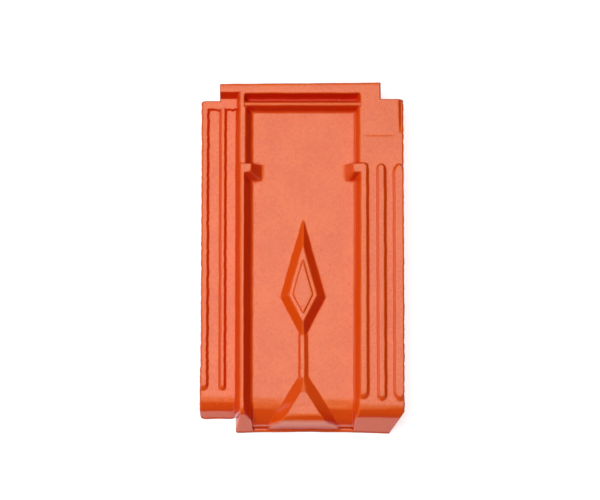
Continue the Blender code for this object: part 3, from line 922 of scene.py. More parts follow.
@dataclass(frozen=True)
class Outline(Form):
    """Plan of the tile, with its notches, its shorter side plate and its rounded corners.

    Attributes:
        left_notch, right_notch: inner side and shoulder of the two head notches
        top_edge, under_edge: roundings along the upper and lower rim
        rim: least height of the rim
        corner_radii: radii of the outward corners, in the order in which corners() gives them
    """

    left_notch: Pair = (-0.081, 0.1565)
    right_notch: Pair = (0.0768, 0.1547)
    top_edge: float = 0.0013
    under_edge: float = 0.0009
    rim: float = 0.0009
    corner_radii: tuple[float, ...] = (0.0012, 0.0010, 0.0028, 0.0026, 0.0048, 0.0022)

    def steps(self, x: Heights, y: Heights) -> tuple[Heights, Heights, Heights]:
        """Distances inwards from the two notches and from the step beside the ridge."""
        m = self.mould
        left = np.maximum(x - self.left_notch[0], self.left_notch[1] - y)
        right = np.maximum(self.right_notch[0] - x, self.right_notch[1] - y)
        beside = np.maximum(x - m.plate_edge, y - m.plate_tail)
        return left, right, beside

    def inside(self, x: Heights, y: Heights) -> Heights:
        """Distance inwards from the whole outline, which is negative outside it."""
        m = self.mould
        sides = (x - m.left, m.right - x, y - m.tail, m.head - y)
        return np.minimum.reduce([*sides, *self.steps(x, y)])

    def behind_faces(self, x: Heights, y: Heights) -> Heights:
        """Distance inwards from the outline without the foot of the tail faces."""
        m = self.mould
        left, right, beside = self.steps(x, y)
        beside = np.where(x > m.plate_edge - TINY, beside, FAR)
        return np.minimum.reduce([x - m.left, m.right - x, m.head - y, left, right, beside])

    @staticmethod
    def rounding(inside: Heights, radius: float) -> Heights:
        """How far a rounded rim lies below its flat, by the distance inwards."""
        left = radius - np.clip(inside, 0.0, radius)
        return radius - np.sqrt(radius**2 - left**2)

    def corners(self) -> list[tuple[float, float, int, int, float]]:
        """Outward corners as x, y, their directions along X and Y, and their radius."""
        m = self.mould
        corners = (
            (self.left_notch[0], m.head, -1, 1),
            (self.right_notch[0], m.head, 1, 1),
            (m.left, self.left_notch[1], -1, 1),
            (m.right, self.right_notch[1], 1, 1),
            (m.left, m.plate_tail, -1, -1),
            (m.plate_edge, m.tail, -1, -1),
        )
        return [(*corner, radius) for corner, radius in zip(corners, self.corner_radii)]

    def round_corners(self, x: Heights, y: Heights) -> tuple[Heights, Heights]:
        """Draw the square corners of the plan in to arcs."""
        for corner_x, corner_y, way_x, way_y, radius in self.corners():
            centre_x, centre_y = corner_x - way_x * radius, corner_y - way_y * radius
            out_x, out_y = (x - centre_x) * way_x, (y - centre_y) * way_y
            beyond = (out_x > 0.0) & (out_y > 0.0)
            beyond &= (out_x <= radius + TINY) & (out_y <= radius + TINY)
            reach = np.where(beyond, np.hypot(out_x, out_y), 1.0)
            drawn = np.where(beyond, np.maximum(out_x, out_y) / reach, 1.0)
            x, y = centre_x + way_x * out_x * drawn, centre_y + way_y * out_y * drawn
        return x, y

    def fixed_lines(self) -> Creases:
        """Grid lines that the outline itself needs."""
        m = self.mould
        across = (m.left, m.plate_edge, self.left_notch[0], self.right_notch[0], m.right)
        along = (m.tail, m.plate_tail, self.right_notch[1], self.left_notch[1], m.head)
        return Creases(across, along)


@dataclass(frozen=True)
class Grid:
    """Lines that the plan's mesh is ruled with.

    Attributes:
        bend, hidden_bend: distances at which it has a line from each crease of the weather side
            and of the underside
        rim: distances from each edge of the outline at which it has a line
        closest: least distance between two lines
        across: widest spacing over the pan and beside it
        along: widest spacing along the tile and over its tail
        tail_reach: distance from the tail edge up to which the second of these holds
    """

    bend: tuple[float, ...] = (-0.0006, -0.0002, 0.0002, 0.0006)
    hidden_bend: tuple[float, ...] = (-0.0004, 0.0004)
    rim: tuple[float, ...] = (0.0, 0.00015, 0.0005, 0.0013)
    closest: float = 0.00025
    across: Pair = (0.0042, 0.0022)
    along: Pair = (0.0026, 0.0012)
    tail_reach: float = 0.031

    def ruled(
        self,
        fixed: Iterable[float],
        creases: Iterable[float],
        hidden: Iterable[float],
        spacing: Callable[[float], float],
    ) -> np.ndarray:
        """Rule lines along one direction.

        Args:
            fixed: lines that stay exactly where they are
            creases, hidden: creases of the weather side and of the underside
            spacing: widest spacing at a place

        Returns:
            The places of the lines in rising order
        """
        fixed = sorted(fixed)
        low, high = fixed[0], fixed[-1]
        wanted = [place + way * gap for place in fixed for way in (-1, 1) for gap in self.rim[1:]]
        wanted += [place + gap for place in creases for gap in self.bend]
        wanted += [place + gap for place in hidden for gap in self.hidden_bend]
        kept = list(fixed)
        for place in wanted:
            if low < place < high and min(abs(place - other) for other in kept) >= self.closest:
                kept.append(place)
        kept.sort()
        lines = [kept[0]]
        for place in kept[1:]:
            parts = math.ceil((place - lines[-1]) / spacing((place + lines[-1]) / 2) - TINY)
            start = lines[-1]
            lines += [start + (place - start) * step / parts for step in range(1, parts + 1)]
        return np.array(lines)


def placed(name: str, data: bpy.types.ID) -> bpy.types.Object:
    """Put data into the scene as an object at the origin."""
    thing = bpy.data.objects.new(name, data)
    bpy.context.scene.collection.objects.link(thing)
    return thing


def meshed(name: str, bm: bmesh.types.BMesh) -> bpy.types.Object:
    """Put a mesh into the scene as an object, and free its editable copy."""
    mesh = bpy.data.meshes.new(name)
    bm.to_mesh(mesh)
    bm.free()
    return placed(name, mesh)


@dataclass(frozen=True)
class Waver:
    """Raggedness of a line in the plan.

    Attributes:
        waves: how the line wavers
        width: distance beside it over which that dies out
        offset: how far beside the form's own line it lies
        stretch: how much more slowly the waver changes across the line than along it
    """

    waves: Waves
    width: float
    offset: float = 0.0
    stretch: float = 0.2

    def across(self, x: Heights, y: Heights, line: float) -> Heights:
        """Shift along X of places beside a line that runs along the tile."""
        return self.waves.at(self.stretch * x, y) * bell(x, line + self.offset, self.width)

    def along(self, x: Heights, y: Heights, line: float) -> Heights:
        """Shift along Y of places beside a line that runs across the tile."""
        return self.waves.at(x, self.stretch * y) * bell(y, line + self.offset, self.width)


@dataclass(frozen=True)
class Warp(Form):
    """How the clay of a pressed tile has moved in the plan.

    Attributes:
        drift: waves that move all of it, along X and along Y
        edge_rib, middle_rib: raggedness of the right sides of the side plate's ribs
        channel_ends, channel_start: raggedness of its channels' head ends, and how far from the
            left edge that begins
        rim: raggedness of the left and the right edge
        draw_in: how far the covering strip's wall is drawn in, how far beside its top that is
            strongest, its width, and where along the tile it begins and is full
        bow: how far the axis bows to the left, the middle and length of that, and its width
        bulge: how far the left edge bulges, where along the tile that begins and is full, and
            its width
        skew: how far the head is pushed out, and how much further for each unit to the right
        lip_half: half the width of the head lip
        skew_beside, skew_lip: where the skew begins and is full, beside the lip and over it
        tail_bow: how far the tail bows in, half the width of that, and its length
        plate_bow: how far the side plate's tail is pushed out, the length of that, and its fade
            beside the ridge
    """

    drift: tuple[Waves, Waves] = (
        Waves(0.010, 0.050, 0.00008, seed=11),
        Waves(0.010, 0.050, 0.00008, seed=12),
    )
    edge_rib: Waver = Waver(Waves(0.0028, 0.0100, 0.00030, seed=21), 0.0020, 0.0012)
    middle_rib: Waver = Waver(Waves(0.004, 0.014, 0.00014, seed=22), 0.0022, 0.001)
    channel_ends: Waver = Waver(Waves(0.0030, 0.0080, 0.00055, seed=23), 0.0022, -0.0006)
    channel_start: float = 0.004
    rim: Waver = Waver(Waves(0.0030, 0.0090, 0.00014, seed=24), 0.0012)
    draw_in: tuple[float, ...] = (0.0011, 0.004, 0.007, 0.08, -0.15)
    bow: tuple[float, ...] = (0.0008, -0.02, 0.05, 0.03)
    bulge: tuple[float, ...] = (0.0008, -0.08, -0.13, 0.004)
    skew: Pair = (0.0016, 0.009)
    lip_half: float = 0.0592
    skew_beside: Pair = (0.09, 0.145)
    skew_lip: Pair = (0.1625, 0.1685)
    tail_bow: tuple[float, ...] = (0.0011, 0.072, 0.02)
    plate_bow: tuple[float, ...] = (0.0012, 0.02, 0.004)

    def ragged(self, x: Heights, y: Heights, plate: SidePlate) -> tuple[Heights, Heights]:
        """Shifts of the side plate's ragged lines and of the outer edges."""
        m = self.mould
        shift_x = self.edge_rib.across(x, y, plate.edge_rib)
        shift_x += self.middle_rib.across(x, y, plate.middle_rib[1])
        shift_x += self.rim.across(x, y, m.left) - self.rim.across(x, y, m.right)
        in_channels = (x > m.left + self.channel_start) & (x < m.plate_edge)
        shift_y = self.channel_ends.along(x, y, plate.channel_head)
        return shift_x, np.where(in_channels, shift_y, 0.0)

    def bent(self, x: Heights, y: Heights) -> tuple[Heights, Heights]:
        """Shifts of the walls, the head and the tail."""
        m = self.mould
        most, beside, width, start, full = self.draw_in
        shift_x = -most * bell(x, m.strip_left - beside, width) * ramp(y, start, full)
        most, middle, length, width = self.bow
        shift_x -= most * bell(y, middle, length) * bell(x, m.axis, width)
        most, start, full, width = self.bulge
        shift_x -= most * ramp(y, start, full) * bell(x, m.left, width)
        push, further = self.skew
        off_lip = np.abs(x) > self.lip_half
        at_head = np.where(off_lip, ramp(y, *self.skew_beside), ramp(y, *self.skew_lip))
        shift_y = (push + further * x) * at_head
        most, half, length = self.tail_bow
        shift_y += most * (1.0 - (x / half) ** 2) * ramp(y, m.tail + length, m.tail)
        most, length, fade = self.plate_bow
        on_plate = ramp(x, m.plate_edge, m.plate_edge - fade)
        shift_y -= most * bell(y, m.plate_tail, length) * on_plate
        return shift_x, shift_y

    def moved(self, x: Heights, y: Heights, plate: SidePlate) -> tuple[Heights, Heights]:
        """Shift the plan.

        Args:
            x, y: places of the vertices
            plate: side plate, whose lines are ragged

        Returns:
            The shifted places
        """
        drift = [waves.at(x, y) for waves in self.drift]
        shifts = zip(drift, self.ragged(x, y, plate), self.bent(x, y))
        shift_x, shift_y = (sum(parts) for parts in shifts)
        return x + shift_x, y + shift_y


@dataclass
class RoofTile:
    """The whole tile as one mesh.

    Attributes:
        mould: places and heights that its forms share
        grid: lines that its plan is ruled with
        softness: how far the glaze rounds the edges
        hook_fillet: difference in height below which the corners round the hooks are filled
        cut_margin: how far round a slope the lines along its bends are cut
        lumps: unevenness of the weather side
        runs, runs_stretch: runs in the glaze over the tail, and how much they are drawn out
        runs_start: distances from the tail edge at which they begin and are full
        crest_reach: radius round a place whose mean height tells crests from hollows
        corner_cut: width and length of the slanting cut at the right tail corner
        cut_lean: how far that cut leans in below
        worn_rim: width of the rim where the glaze is worn
        shade_lean: how much less painted shade falls on sides that face right and on sides that
            face the head, below zero where more falls, as the light comes from the left and the
            head
        upright: part of a side's normal towards the tail from which a side near the tail gets no
            painted shade
    """

    mould: Mould = field(default_factory=Mould)
    grid: Grid = field(default_factory=Grid)
    softness: float = 0.0007
    hook_fillet: float = 0.002
    cut_margin: float = 0.001
    lumps: Waves = Waves(0.012, 0.060, 0.00005, seed=3)
    runs: Waves = Waves(0.0040, 0.0090, 0.00005, seed=31)
    runs_stretch: float = 0.12
    runs_start: Pair = (0.034, 0.024)
    crest_reach: float = 0.003
    corner_cut: Pair = (0.0147, 0.0226)
    cut_lean: float = slope(13.0)
    worn_rim: float = 0.0013
    # painted shade: the light comes from the left and the head, so sides facing right get more and
    # sides facing the head less
    shade_lean: Pair = (-0.316, 0.12)
    upright: float = 0.8

    def __post_init__(self) -> None:
        """Make the forms that the tile consists of."""
        self.outline = Outline(self.mould)
        self.plate = SidePlate(self.mould)
        self.ridge = Ridge(self.mould)
        self.pan = Pan(self.mould)
        self.strip = CoveringStrip(self.mould)
        self.head = Head(self.mould)
        self.hooks = [
            Hook(self.mould, Side.LEFT),
            Hook(self.mould, Side.RIGHT, reach=0.0075, side_slope=0.68),
        ]
        self.lozenge = Lozenge(self.mould)
        self.delta = Delta(self.mould)
        self.underside = Underside(self.mould)
        self.warp = Warp(self.mould)

    def top_height(self, x: Heights, y: Heights) -> Heights:
        """Height of the weather side with sharp edges."""
        walls = np.where(x < 0.0, self.ridge.height(x, y), self.strip.height(x, y))
        top = np.maximum(self.plate.height(x, y), np.minimum(self.pan.height(x, y), walls))
        top = np.maximum(top, self.head.rail().height(x, y))
        for hook in self.hooks:
            block = hook.block()
            top = joined(top, block.height(x, y), self.hook_fillet, block.level)
        top = np.maximum(top, self.lozenge.height(x, y))
        top = np.maximum(top, self.delta.height(x, y, self.pan.floor(y)))
        top = np.minimum(top, self.head.crown(x, y))
        return np.minimum(top, self.head.hollow().height(x, y))

    def plan(self) -> bmesh.types.BMesh:
        """Rule a flat grid along the creases and cut it to the outline.

        Returns:
            The plan as a flat mesh
        """
        m = self.mould
        forms = (self.plate, self.ridge, self.pan, self.strip, self.head, self.lozenge)
        found = Creases()
        for form in (*forms, self.delta, *self.hooks):
            found += form.creases()
        fixed, hidden = self.outline.fixed_lines(), self.underside.creases()
        grid = self.grid

        def across(x: float) -> float:
            """Widest spacing of the columns at a place."""
            return grid.across[0 if m.ridge_right < x < m.strip_left else 1]

        def along(y: float) -> float:
            """Widest spacing of the rows at a place."""
            return grid.along[1 if y < m.tail + grid.tail_reach else 0]

        columns = grid.ruled(fixed.across, found.across, hidden.across, across)
        rows = grid.ruled(fixed.along, found.along, hidden.along, along)
        bm = bmesh.new()
        segments = (len(columns) - 1, len(rows) - 1)
        bmesh.ops.create_grid(bm, x_segments=segments[0], y_segments=segments[1], size=1.0)
        for vert in bm.verts:
            column = round((vert.co.x + 1.0) / 2.0 * segments[0])
            row = round((vert.co.y + 1.0) / 2.0 * segments[1])
            vert.co = (columns[column], rows[row], 0.0)
        middles = np.array([face.calc_center_bounds()[:2] for face in bm.faces])
        outside = self.outline.inside(middles[:, 0], middles[:, 1]) < 0.0
        cut = [face for face, out in zip(bm.faces, outside) if out]
        bmesh.ops.delete(bm, geom=cut, context="FACES")
        LOG.info("plan: %d columns, %d rows, %d faces", len(columns), len(rows), len(bm.faces))
        return bm

    def score(
        self,
        bm: bmesh.types.BMesh,
        facet: Facet,
        bends: Iterable[float],
        half_width: float,
        ends: Pair,
    ) -> None:
        """Cut slanting lines into the plan along the bends of a facet, on its side of the axis.

        Args:
            bm: mesh of the plan
            facet: slope that the lines run along
            bends: distances inwards of the bends
            half_width: half the width of the form that the facet belongs to
            ends: places along Y between which the lines are cut
        """
        on_right, reach = facet.inwards[0] < 0.0, half_width + self.cut_margin
        faces = []
        for face in bm.faces:
            middle = face.calc_center_bounds()
            off_axis = middle.x - self.mould.axis
            beside = (off_axis > 0.0) == on_right and abs(off_axis) < reach
            if beside and ends[0] < middle.y < ends[1]:
                faces.append(face)
        half = self.softness
        for inset in sorted({bend + gap for bend in bends for gap in (-half, 0.0, half)}):
            place = Vector(facet.start) + Vector(facet.inwards) * inset
            edges = dict.fromkeys(edge for face in faces for edge in face.edges)
            verts = dict.fromkeys(vert for face in faces for vert in face.verts)
            cut = bmesh.ops.bisect_plane(
                bm, geom=[*verts, *edges, *faces], dist=MERGE,
                plane_co=(*place, 0.0), plane_no=(*facet.inwards, 0.0),
            )
            faces = [part for part in cut["geom"] if isinstance(part, bmesh.types.BMFace)]

    def score_slants(self, bm: bmesh.types.BMesh) -> None:
        """Cut the creases of the lozenge and the delta into the plan."""
        loz, delta = self.lozenge, self.delta
        tail_half = (loz.tail_tip - self.cut_margin, loz.widest)
        head_half = (loz.widest, loz.head_tip + self.cut_margin)
        for facet in loz.facets():
            ends = tail_half if facet.inwards[1] > 0.0 else head_half
            self.score(bm, facet, loz.bends(), loz.half_width, ends)
        for facet in delta.facets():
            self.score(bm, facet, (0.0, delta.run), delta.tail_width / 2, (-FAR, delta.tip))

    def lifted(self, x: Heights, y: Heights, is_top: np.ndarray) -> Heights:
        """Heights of the mesh over the plan.

        Args:
            x, y: places of the vertices
            is_top: which of them lie on the weather side

        Returns:
            The height of each vertex
        """
        outline, tail = self.outline, self.mould.tail
        start, full = self.runs_start
        under = softened(self.underside.height, x, y, self.softness)
        under += outline.rounding(outline.inside(x, y), outline.under_edge)
        top = softened(self.top_height, x, y, self.softness)
        top -= outline.rounding(outline.behind_faces(x, y), outline.top_edge)
        top += self.lumps.at(x, y)
        top += self.runs.at(self.runs_stretch * x, y) * ramp(y, tail + start, tail + full)
        return np.where(is_top, np.maximum(top, under + outline.rim), under)

    def cut_corner(self, bm: bmesh.types.BMesh) -> None:
        """Cut the right tail corner by a plane that leans in below, and close the cut."""
        m = self.mould
        width, length = self.corner_cut
        start = Vector((m.right - width, m.tail, 0.0))
        along = Vector((width, length, 0.0))
        upwards = Vector((0.0, -self.cut_lean, 1.0))
        outwards = along.cross(upwards).normalized()
        cut = bmesh.ops.bisect_plane(
            bm, geom=[*bm.verts, *bm.edges, *bm.faces], dist=MERGE,
            plane_co=start, plane_no=outwards, clear_outer=True,
        )
        rim = [part for part in cut["geom_cut"] if isinstance(part, bmesh.types.BMEdge)]
        closed = bmesh.ops.edgeloop_fill(bm, edges=rim)
        LOG.info("right tail corner: %d faces close the cut", len(closed["faces"]))

    def sag(self, vert: bmesh.types.BMVert) -> float:
        """How much painted shade a vertex gets: more on steep sides and on sides turned away from
        the light.
        """
        normal = vert.normal
        # tail-facing sides near the tail, which the light reaches, get no painted shade
        if normal.y < -self.upright and vert.co.y < self.plate.channel_tail:
            return 0.0
        facing_light = normal.x * self.shade_lean[0] + normal.y * self.shade_lean[1]
        return 1.0 - abs(normal.z) - facing_light

    @staticmethod
    def mark(bm: bmesh.types.BMesh, name: str, values: Iterable[float]) -> None:
        """Store a value for each vertex under a name that the glaze reads."""
        layer = bm.verts.layers.float.new(name)
        for vert, value in zip(bm.verts, values):
            vert[layer] = value

    def build(self) -> bpy.types.Object:
        """Model the tile.

        Returns:
            The tile as an object at the origin
        """
        bm = self.plan()
        self.score_slants(bm)
        layer = bm.verts.layers.float.new("weather_side")
        raised = bmesh.ops.extrude_face_region(bm, geom=bm.faces[:])
        for part in raised["geom"]:
            if isinstance(part, bmesh.types.BMVert):
                part[layer] = 1.0
        places = np.array([vert.co[:2] for vert in bm.verts])
        x, y = places[:, 0], places[:, 1]
        is_top = np.array([vert[layer] > 0.5 for vert in bm.verts])
        bm.verts.layers.float.remove(layer)
        z = self.lifted(x, y, is_top)
        # height above the mean round each place, by which the glaze puts a painted highlight on
        # crests and painted shade in hollows
        crest = z - softened(self.top_height, x, y, self.crest_reach)
        self.mark(bm, "crest", np.where(is_top, crest, 0.0))
        self.mark(bm, "worn", 1.0 - ramp(self.outline.inside(x, y), 0.0, self.worn_rim))
        x, y = self.warp.moved(*self.outline.round_corners(x, y), self.plate)
        for vert, *place in zip(bm.verts, x, y, z):
            vert.co = place
        self.cut_corner(bm)
        bmesh.ops.recalc_face_normals(bm, faces=bm.faces)
        bm.normal_update()
        # slant: how steep a side is, which also sets the painted shade on slopes
        self.mark(bm, "slant", [1.0 - abs(vert.normal.z) for vert in bm.verts])
        # painted shade on steep sides and on sides turned away from the light
        self.mark(bm, "sag", [self.sag(vert) for vert in bm.verts])
        for face in bm.faces:
            face.smooth = True
        tile = meshed("glazed_tile", bm)
        triangles = sum(len(face.vertices) - 2 for face in tile.data.polygons)
        LOG.info("glazed tile: %d vertices, %d triangles", len(tile.data.vertices), triangles)
        return tile

    def dress(self, tile: bpy.types.Object) -> None:
        """Glaze the tile and hang it on the frame in place of the solid."""
        tile.data.materials.append(Glaze().material())
        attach(tile, "root")
        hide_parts("roof_tile")


class Wire:
    """Number that a material works out over a surface. Its operators add Math nodes."""

    def __init__(self, nodes: "Nodes", socket: bpy.types.NodeSocket) -> None:
        """Wrap an output socket."""
        self.nodes = nodes
        self.socket = socket

    def _math(self, operation: str, *values: Any) -> "Wire":
        """Add a Math node that works on values."""
        return self.nodes.wire("ShaderNodeMath", {"operation": operation}, dict(enumerate(values)))

    def __add__(self, other: Any) -> "Wire":
        """This number plus another."""
        return self._math("ADD", self, other)

    __radd__ = __add__

    def __mul__(self, other: Any) -> "Wire":
        """This number times another."""
        return self._math("MULTIPLY", self, other)

    __rmul__ = __mul__

    def __sub__(self, other: Any) -> "Wire":
        """This number less another."""
        return self._math("SUBTRACT", self, other)

    def __rsub__(self, other: Any) -> "Wire":
        """Another number less this one."""
        return self._math("SUBTRACT", other, self)

    def between(self, low: float, high: float) -> "Wire":
        """Zero below a low value and one above a high one, with a smooth step between them."""
        inputs = {"Value": self, "From Min": low, "From Max": high}
        settings = {"interpolation_type": "SMOOTHSTEP"}
        return self.nodes.wire("ShaderNodeMapRange", settings, inputs)


class Nodes:
    """Node tree of a material, and the one way to add a node to it."""

    def __init__(self, name: str) -> None:
        """Start a material of this name."""
        self.material = bpy.data.materials.new(name)
        self.material.use_nodes = True
        self.tree = self.material.node_tree
        self.shader = self.tree.nodes["Principled BSDF"]

    def feed(self, socket: bpy.types.NodeSocket, value: Any) -> None:
        """Set a socket's value, or link a wire or another socket to it."""
        if isinstance(value, Wire):
            value = value.socket
        if isinstance(value, bpy.types.NodeSocket):
            self.tree.links.new(value, socket)
        else:
            socket.default_value = value

    def node(self, kind: str, settings: dict[str, Any], inputs: dict[Any, Any]) -> bpy.types.Node:
        """Add a node.

        Args:
            kind: Blender's name of the node's type
            settings: the node's own settings, which are set first
            inputs: values, wires or sockets for its input sockets, by name or number

        Returns:
            The node
        """
        node = self.tree.nodes.new(kind)
        for name, value in settings.items():
            setattr(node, name, value)
        for name, value in inputs.items():
            self.feed(node.inputs[name], value)
        return node

    def wire(
        self, kind: str, settings: dict[str, Any], inputs: dict[Any, Any], output: Any = 0
    ) -> Wire:
        """Add a node and give one of its outputs as a wire."""
        return Wire(self, self.node(kind, settings, inputs).outputs[output])

    def stored(self, name: str) -> Wire:
        """Value that the mesh stores for each vertex under a name."""
        return self.wire("ShaderNodeAttribute", {"attribute_name": name}, {}, "Fac")

    def noise(self, places: bpy.types.NodeSocket, scale: float, detail: float) -> Wire:
        """Smooth noise over places, from about 0.3 to 0.7."""
        inputs = {"Vector": places, "Scale": scale, "Detail": detail}
        return self.wire("ShaderNodeTexNoise", {}, inputs, "Fac")

    def finished(self, inputs: dict[str, Any]) -> bpy.types.Material:
        """Feed the shader's inputs by name, and give the material."""
        for name, value in inputs.items():
            self.feed(self.shader.inputs[name], value)
        return self.material

    def mixed(self, factor: Any, first: Any, second: Any) -> bpy.types.NodeSocket:
        """Colour between a first and a second one."""
        inputs = {0: factor, 6: first, 7: second}
        return self.node("ShaderNodeMix", {"data_type": "RGBA"}, inputs).outputs[2]


@dataclass(frozen=True)
class Scatter:
    """Round specks scattered over the plan of the tile.

    Attributes:
        scale: cells for each metre, each with room for one speck
        edge: where a speck begins to fade and where it ends, as parts of a cell
        chosen: how high a cell's random number has to be for a faint and for a full speck
    """

    scale: float
    edge: Pair
    chosen: Pair

    def over(self, nodes: Nodes, places: bpy.types.NodeSocket) -> Wire:
        """Scatter the specks.

        Args:
            nodes: node tree to add them to
            places: object coordinates

        Returns:
            Wire that is one in the middle of a full speck and zero between the specks
        """
        settings, inputs = {"voronoi_dimensions": "2D"}, {"Vector": places, "Scale": self.scale}
        cells = nodes.node("ShaderNodeTexVoronoi", settings, inputs)
        number = nodes.wire("ShaderNodeSeparateColor", {}, {"Color": cells.outputs["Color"]})
        inside = 1 - Wire(nodes, cells.outputs["Distance"]).between(*self.edge)
        return inside * number.between(*self.chosen)


@dataclass(frozen=True)
class Glaze:
    """Glossy orange-red glaze over clay.

    Attributes:
        body: its colour where it lies thick and even
        bright: its colour where it is a little thinner
        crest_highlight: brighter colour on crests, a painted highlight
        painted_shade: darker red for painted shade in hollows and on sides turned away from the
            light
        slope: deeper, darker colour on slopes than on flats, a painted shade
        speck: colour of the specks in it
        edge: its colour along the worn rim
        noises, shares: scale and detail of the clouds, the mottling and the grain, and their
            shares in the unevenness of the body
        uneven: unevenness over which the body turns bright
        specks, dust: the specks, and the finer ones between them
        level: slant over which the specks end
        leaning: slant over which the painted shade on slopes begins
        crests, hollows: height above the surroundings over which the painted highlight on crests
            begins
        and the painted shade in hollows ends
        side_shade_band: range of sag over which the painted shade on turned-away sides comes in
        rim, rim_side, rim_patches: wear over which the rim's colour begins, slant over which it
            ends, and mottling over which its patches begin
        strengths: full shares of the painted highlight on crests, the painted shade in hollows, and
            the
        colours in the dust and on the rim
        roughness, rougher: roughness of the surface, and what the mottling and the specks add
        index: index of refraction of the glaze
        bumps: heights of the mottling, the grain and the specks
    """

    body: Colour = (0.79, 0.103, 0.003, 1.0)
    bright: Colour = (0.87, 0.137, 0.009, 1.0)
    # brighter colour on crests: a painted highlight
    crest_highlight: Colour = (0.84, 0.110, 0.004, 1.0)
    # darker red for painted shade in hollows and on sides turned away from the light
    painted_shade: Colour = (0.60, 0.012, 0.0003, 1.0)
    # deeper, darker colour on slopes: a painted shade
    slope: Colour = (0.74, 0.070, 0.0005, 1.0)
    speck: Colour = (0.56, 0.060, 0.002, 1.0)
    edge: Colour = (0.30, 0.085, 0.040, 1.0)
    noises: tuple[Pair, Pair, Pair] = ((38.0, 4.0), (380.0, 3.0), (1500.0, 2.0))
    shares: tuple[float, float, float] = (0.35, 0.5, 0.15)
    uneven: Pair = (0.38, 0.62)
    specks: Scatter = Scatter(110.0, (0.05, 0.10), (0.84, 0.96))
    dust: Scatter = Scatter(300.0, (0.10, 0.22), (0.60, 0.98))
    level: Pair = (0.08, 0.20)
    leaning: Pair = (0.02, 0.07)
    crests: Pair = (0.0001, 0.0009)
    hollows: Pair = (-0.0016, -0.0001)
    side_shade_band: Pair = (0.12, 0.75)
    rim: Pair = (0.1, 0.9)
    rim_side: Pair = (0.5, 0.9)
    rim_patches: Pair = (0.25, 0.50)
    strengths: tuple[float, float, float, float] = (0.6, 0.55, 0.5, 0.8)
    roughness: float = 0.24
    rougher: Pair = (0.08, 0.6)
    index: float = 1.7
    bumps: tuple[float, float, float] = (0.00004, 0.000006, -0.00001)

    def material(self) -> bpy.types.Material:
        """Build the glaze as a material.

        Returns:
            The material
        """
        nodes = Nodes("orange_glaze")
        places = nodes.node("ShaderNodeTexCoord", {}, {}).outputs["Object"]
        crest, slant, sag, worn = map(nodes.stored, ("crest", "slant", "sag", "worn"))
        clouds, mottle, grain = (nodes.noise(places, *noise) for noise in self.noises)
        level = 1 - slant.between(*self.level)
        specks, dust = (kind.over(nodes, places) * level for kind in (self.specks, self.dust))
        uneven = clouds * self.shares[0] + mottle * self.shares[1] + grain * self.shares[2]
        rim = worn.between(*self.rim) * (1 - slant.between(*self.rim_side))
        on_crests, in_hollows, in_dust, on_rim = self.strengths
        coats = (
            (uneven.between(*self.uneven), self.bright),
            # painted shade on slopes
            (slant.between(*self.leaning), self.slope),
            # painted highlight on crests
            (on_crests * crest.between(*self.crests), self.crest_highlight),
            # painted shade on sides turned away from the light
            (sag.between(*self.side_shade_band), self.painted_shade),
            # painted shade in hollows
            (in_hollows * (1 - crest.between(*self.hollows)), self.painted_shade),
            (specks + dust * in_dust, self.speck),
            (on_rim * (rim * mottle.between(*self.rim_patches)), self.edge),
        )
        colour = self.body
        for share, coat in coats:
            colour = nodes.mixed(share, colour, coat)
        mottled, specked = self.rougher
        height = mottle * self.bumps[0] + grain * self.bumps[1] + specks * self.bumps[2]
        inputs = {"Strength": 1.0, "Distance": 1.0, "Height": height}
        return nodes.finished({
            "Base Color": colour,
            "Roughness": self.roughness + mottled * (mottle - 0.5) + specked * specks,
            "IOR": self.index,
            "Normal": nodes.node("ShaderNodeBump", {}, inputs).outputs["Normal"],
        })


@dataclass(frozen=True)
class Lamp:
    """Square soft box that shines on the tile.

    Attributes:
        name: its name
        place: where it stands
        size: length of its side
        brightness: brightness of its face, where white paper under the studio light is about one
        mirrored: whether glossy surfaces mirror it
    """

    name: str
    place: tuple[float, float, float]
    size: float
    brightness: float
    mirrored: bool = True

    def build(self) -> None:
        """Add the lamp to the scene, out of the camera's sight."""
        light = bpy.data.lights.new(self.name, "AREA")
        light.size = self.size
        light.energy = self.brightness * math.pi * self.size**2
        lamp = placed(self.name, light)
        lamp.location = self.place
        lamp.rotation_euler = (-Vector(self.place)).to_track_quat("-Z", "Y").to_euler()
        lamp.visible_camera = False
        lamp.visible_glossy = self.mirrored


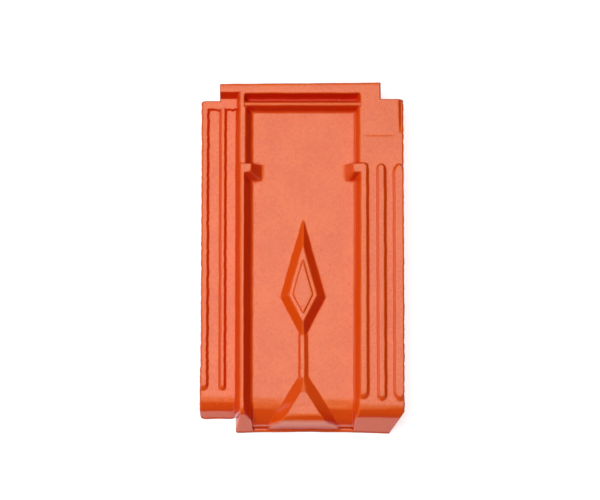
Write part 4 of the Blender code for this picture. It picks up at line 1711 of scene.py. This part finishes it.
@dataclass(frozen=True)
class Studio:
    """Plain pale floor, soft light and the photograph's camera.

    Attributes:
        tilt: how far the camera leans from straight above towards the tail, in degrees
        distance: from the camera to what it looks at
        aim: what it looks at
        scale: pixels of the picture for each metre at the aim
        picture_width: width of the picture in pixels
        sky: brightness of the pale room all round
        floor, floor_roughness: colour and roughness of the floor
        floor_glow: how much the white floor glows by itself, so that its shadows stay faint
        floor_size: length of its side
        lamps: the soft boxes
    """

    tilt: float = 13.0
    distance: float = 5.1
    aim: tuple[float, float, float] = (-0.0024, 0.0080, 0.015)
    scale: float = 1023.5
    picture_width: float = 600.0
    sky: float = 0.06
    floor: Colour = (0.46, 0.46, 0.46, 1.0)
    floor_roughness: float = 0.9
    floor_glow: float = 0.76
    floor_size: float = 40.0
    lamps: tuple[Lamp, ...] = (
        Lamp("overhead", (0.0, 0.38, 1.66), 0.85, 1.5),
        Lamp("left_panel", (-1.25, 0.27, 0.31), 0.62, 1.1),
        Lamp("back_panel", (0.0, 1.45, 0.68), 0.8, 0.7),
        Lamp("front_left_panel", (-1.03, -1.03, 0.67), 0.7, 0.7),
        Lamp("front_right_panel", (1.03, -1.03, 0.67), 0.7, 0.5),
        Lamp("fill", (-0.52, -0.04, 1.75), 1.6, 3.75, mirrored=False),
    )

    def build(self) -> None:
        """Add floor, room, lamps and camera to the scene."""
        self.lay_floor()
        self.paint_room()
        for lamp in self.lamps:
            lamp.build()
        self.place_camera()

    def lay_floor(self) -> None:
        """Lay the floor that the tile stands on."""
        bm = bmesh.new()
        bmesh.ops.create_grid(bm, x_segments=1, y_segments=1, size=self.floor_size / 2)
        floor = meshed("studio_floor", bm)
        floor.data.materials.append(Nodes("floor_paper").finished({
            "Base Color": self.floor,
            "Roughness": self.floor_roughness,
            "Specular IOR Level": 0.0,
            "Emission Color": WHITE,
            "Emission Strength": self.floor_glow,
        }))

    def paint_room(self) -> None:
        """Make the room round the floor white, and show colours as they are."""
        world = bpy.data.worlds.new("white_room")
        world.use_nodes = True
        background = world.node_tree.nodes["Background"]
        background.inputs["Color"].default_value = WHITE
        background.inputs["Strength"].default_value = self.sky
        bpy.context.scene.world = world
        bpy.context.scene.view_settings.view_transform = "Standard"

    def place_camera(self) -> None:
        """Put the camera where the photograph was taken from."""
        tilt = math.radians(self.tilt)
        data = bpy.data.cameras.new("photo_camera")
        data.lens = self.scale * data.sensor_width * self.distance / self.picture_width
        data.clip_end = 100.0
        camera = placed("photo_camera", data)
        back = Vector((0.0, -math.sin(tilt), math.cos(tilt)))
        camera.location = Vector(self.aim) + back * self.distance
        camera.rotation_euler = (tilt, 0.0, 0.0)
        bpy.context.scene.camera = camera


def main() -> None:
    """Build and dress the tile, then the studio round it."""
    logging.basicConfig(level=logging.INFO, format="%(name)s: %(message)s")
    roof_tile, studio = RoofTile(), Studio()
    roof_tile.dress(roof_tile.build())
    studio.build()
    LOG.info("studio: floor, room, %d lamps and camera", len(studio.lamps))


if __name__ == "__main__":
    main()
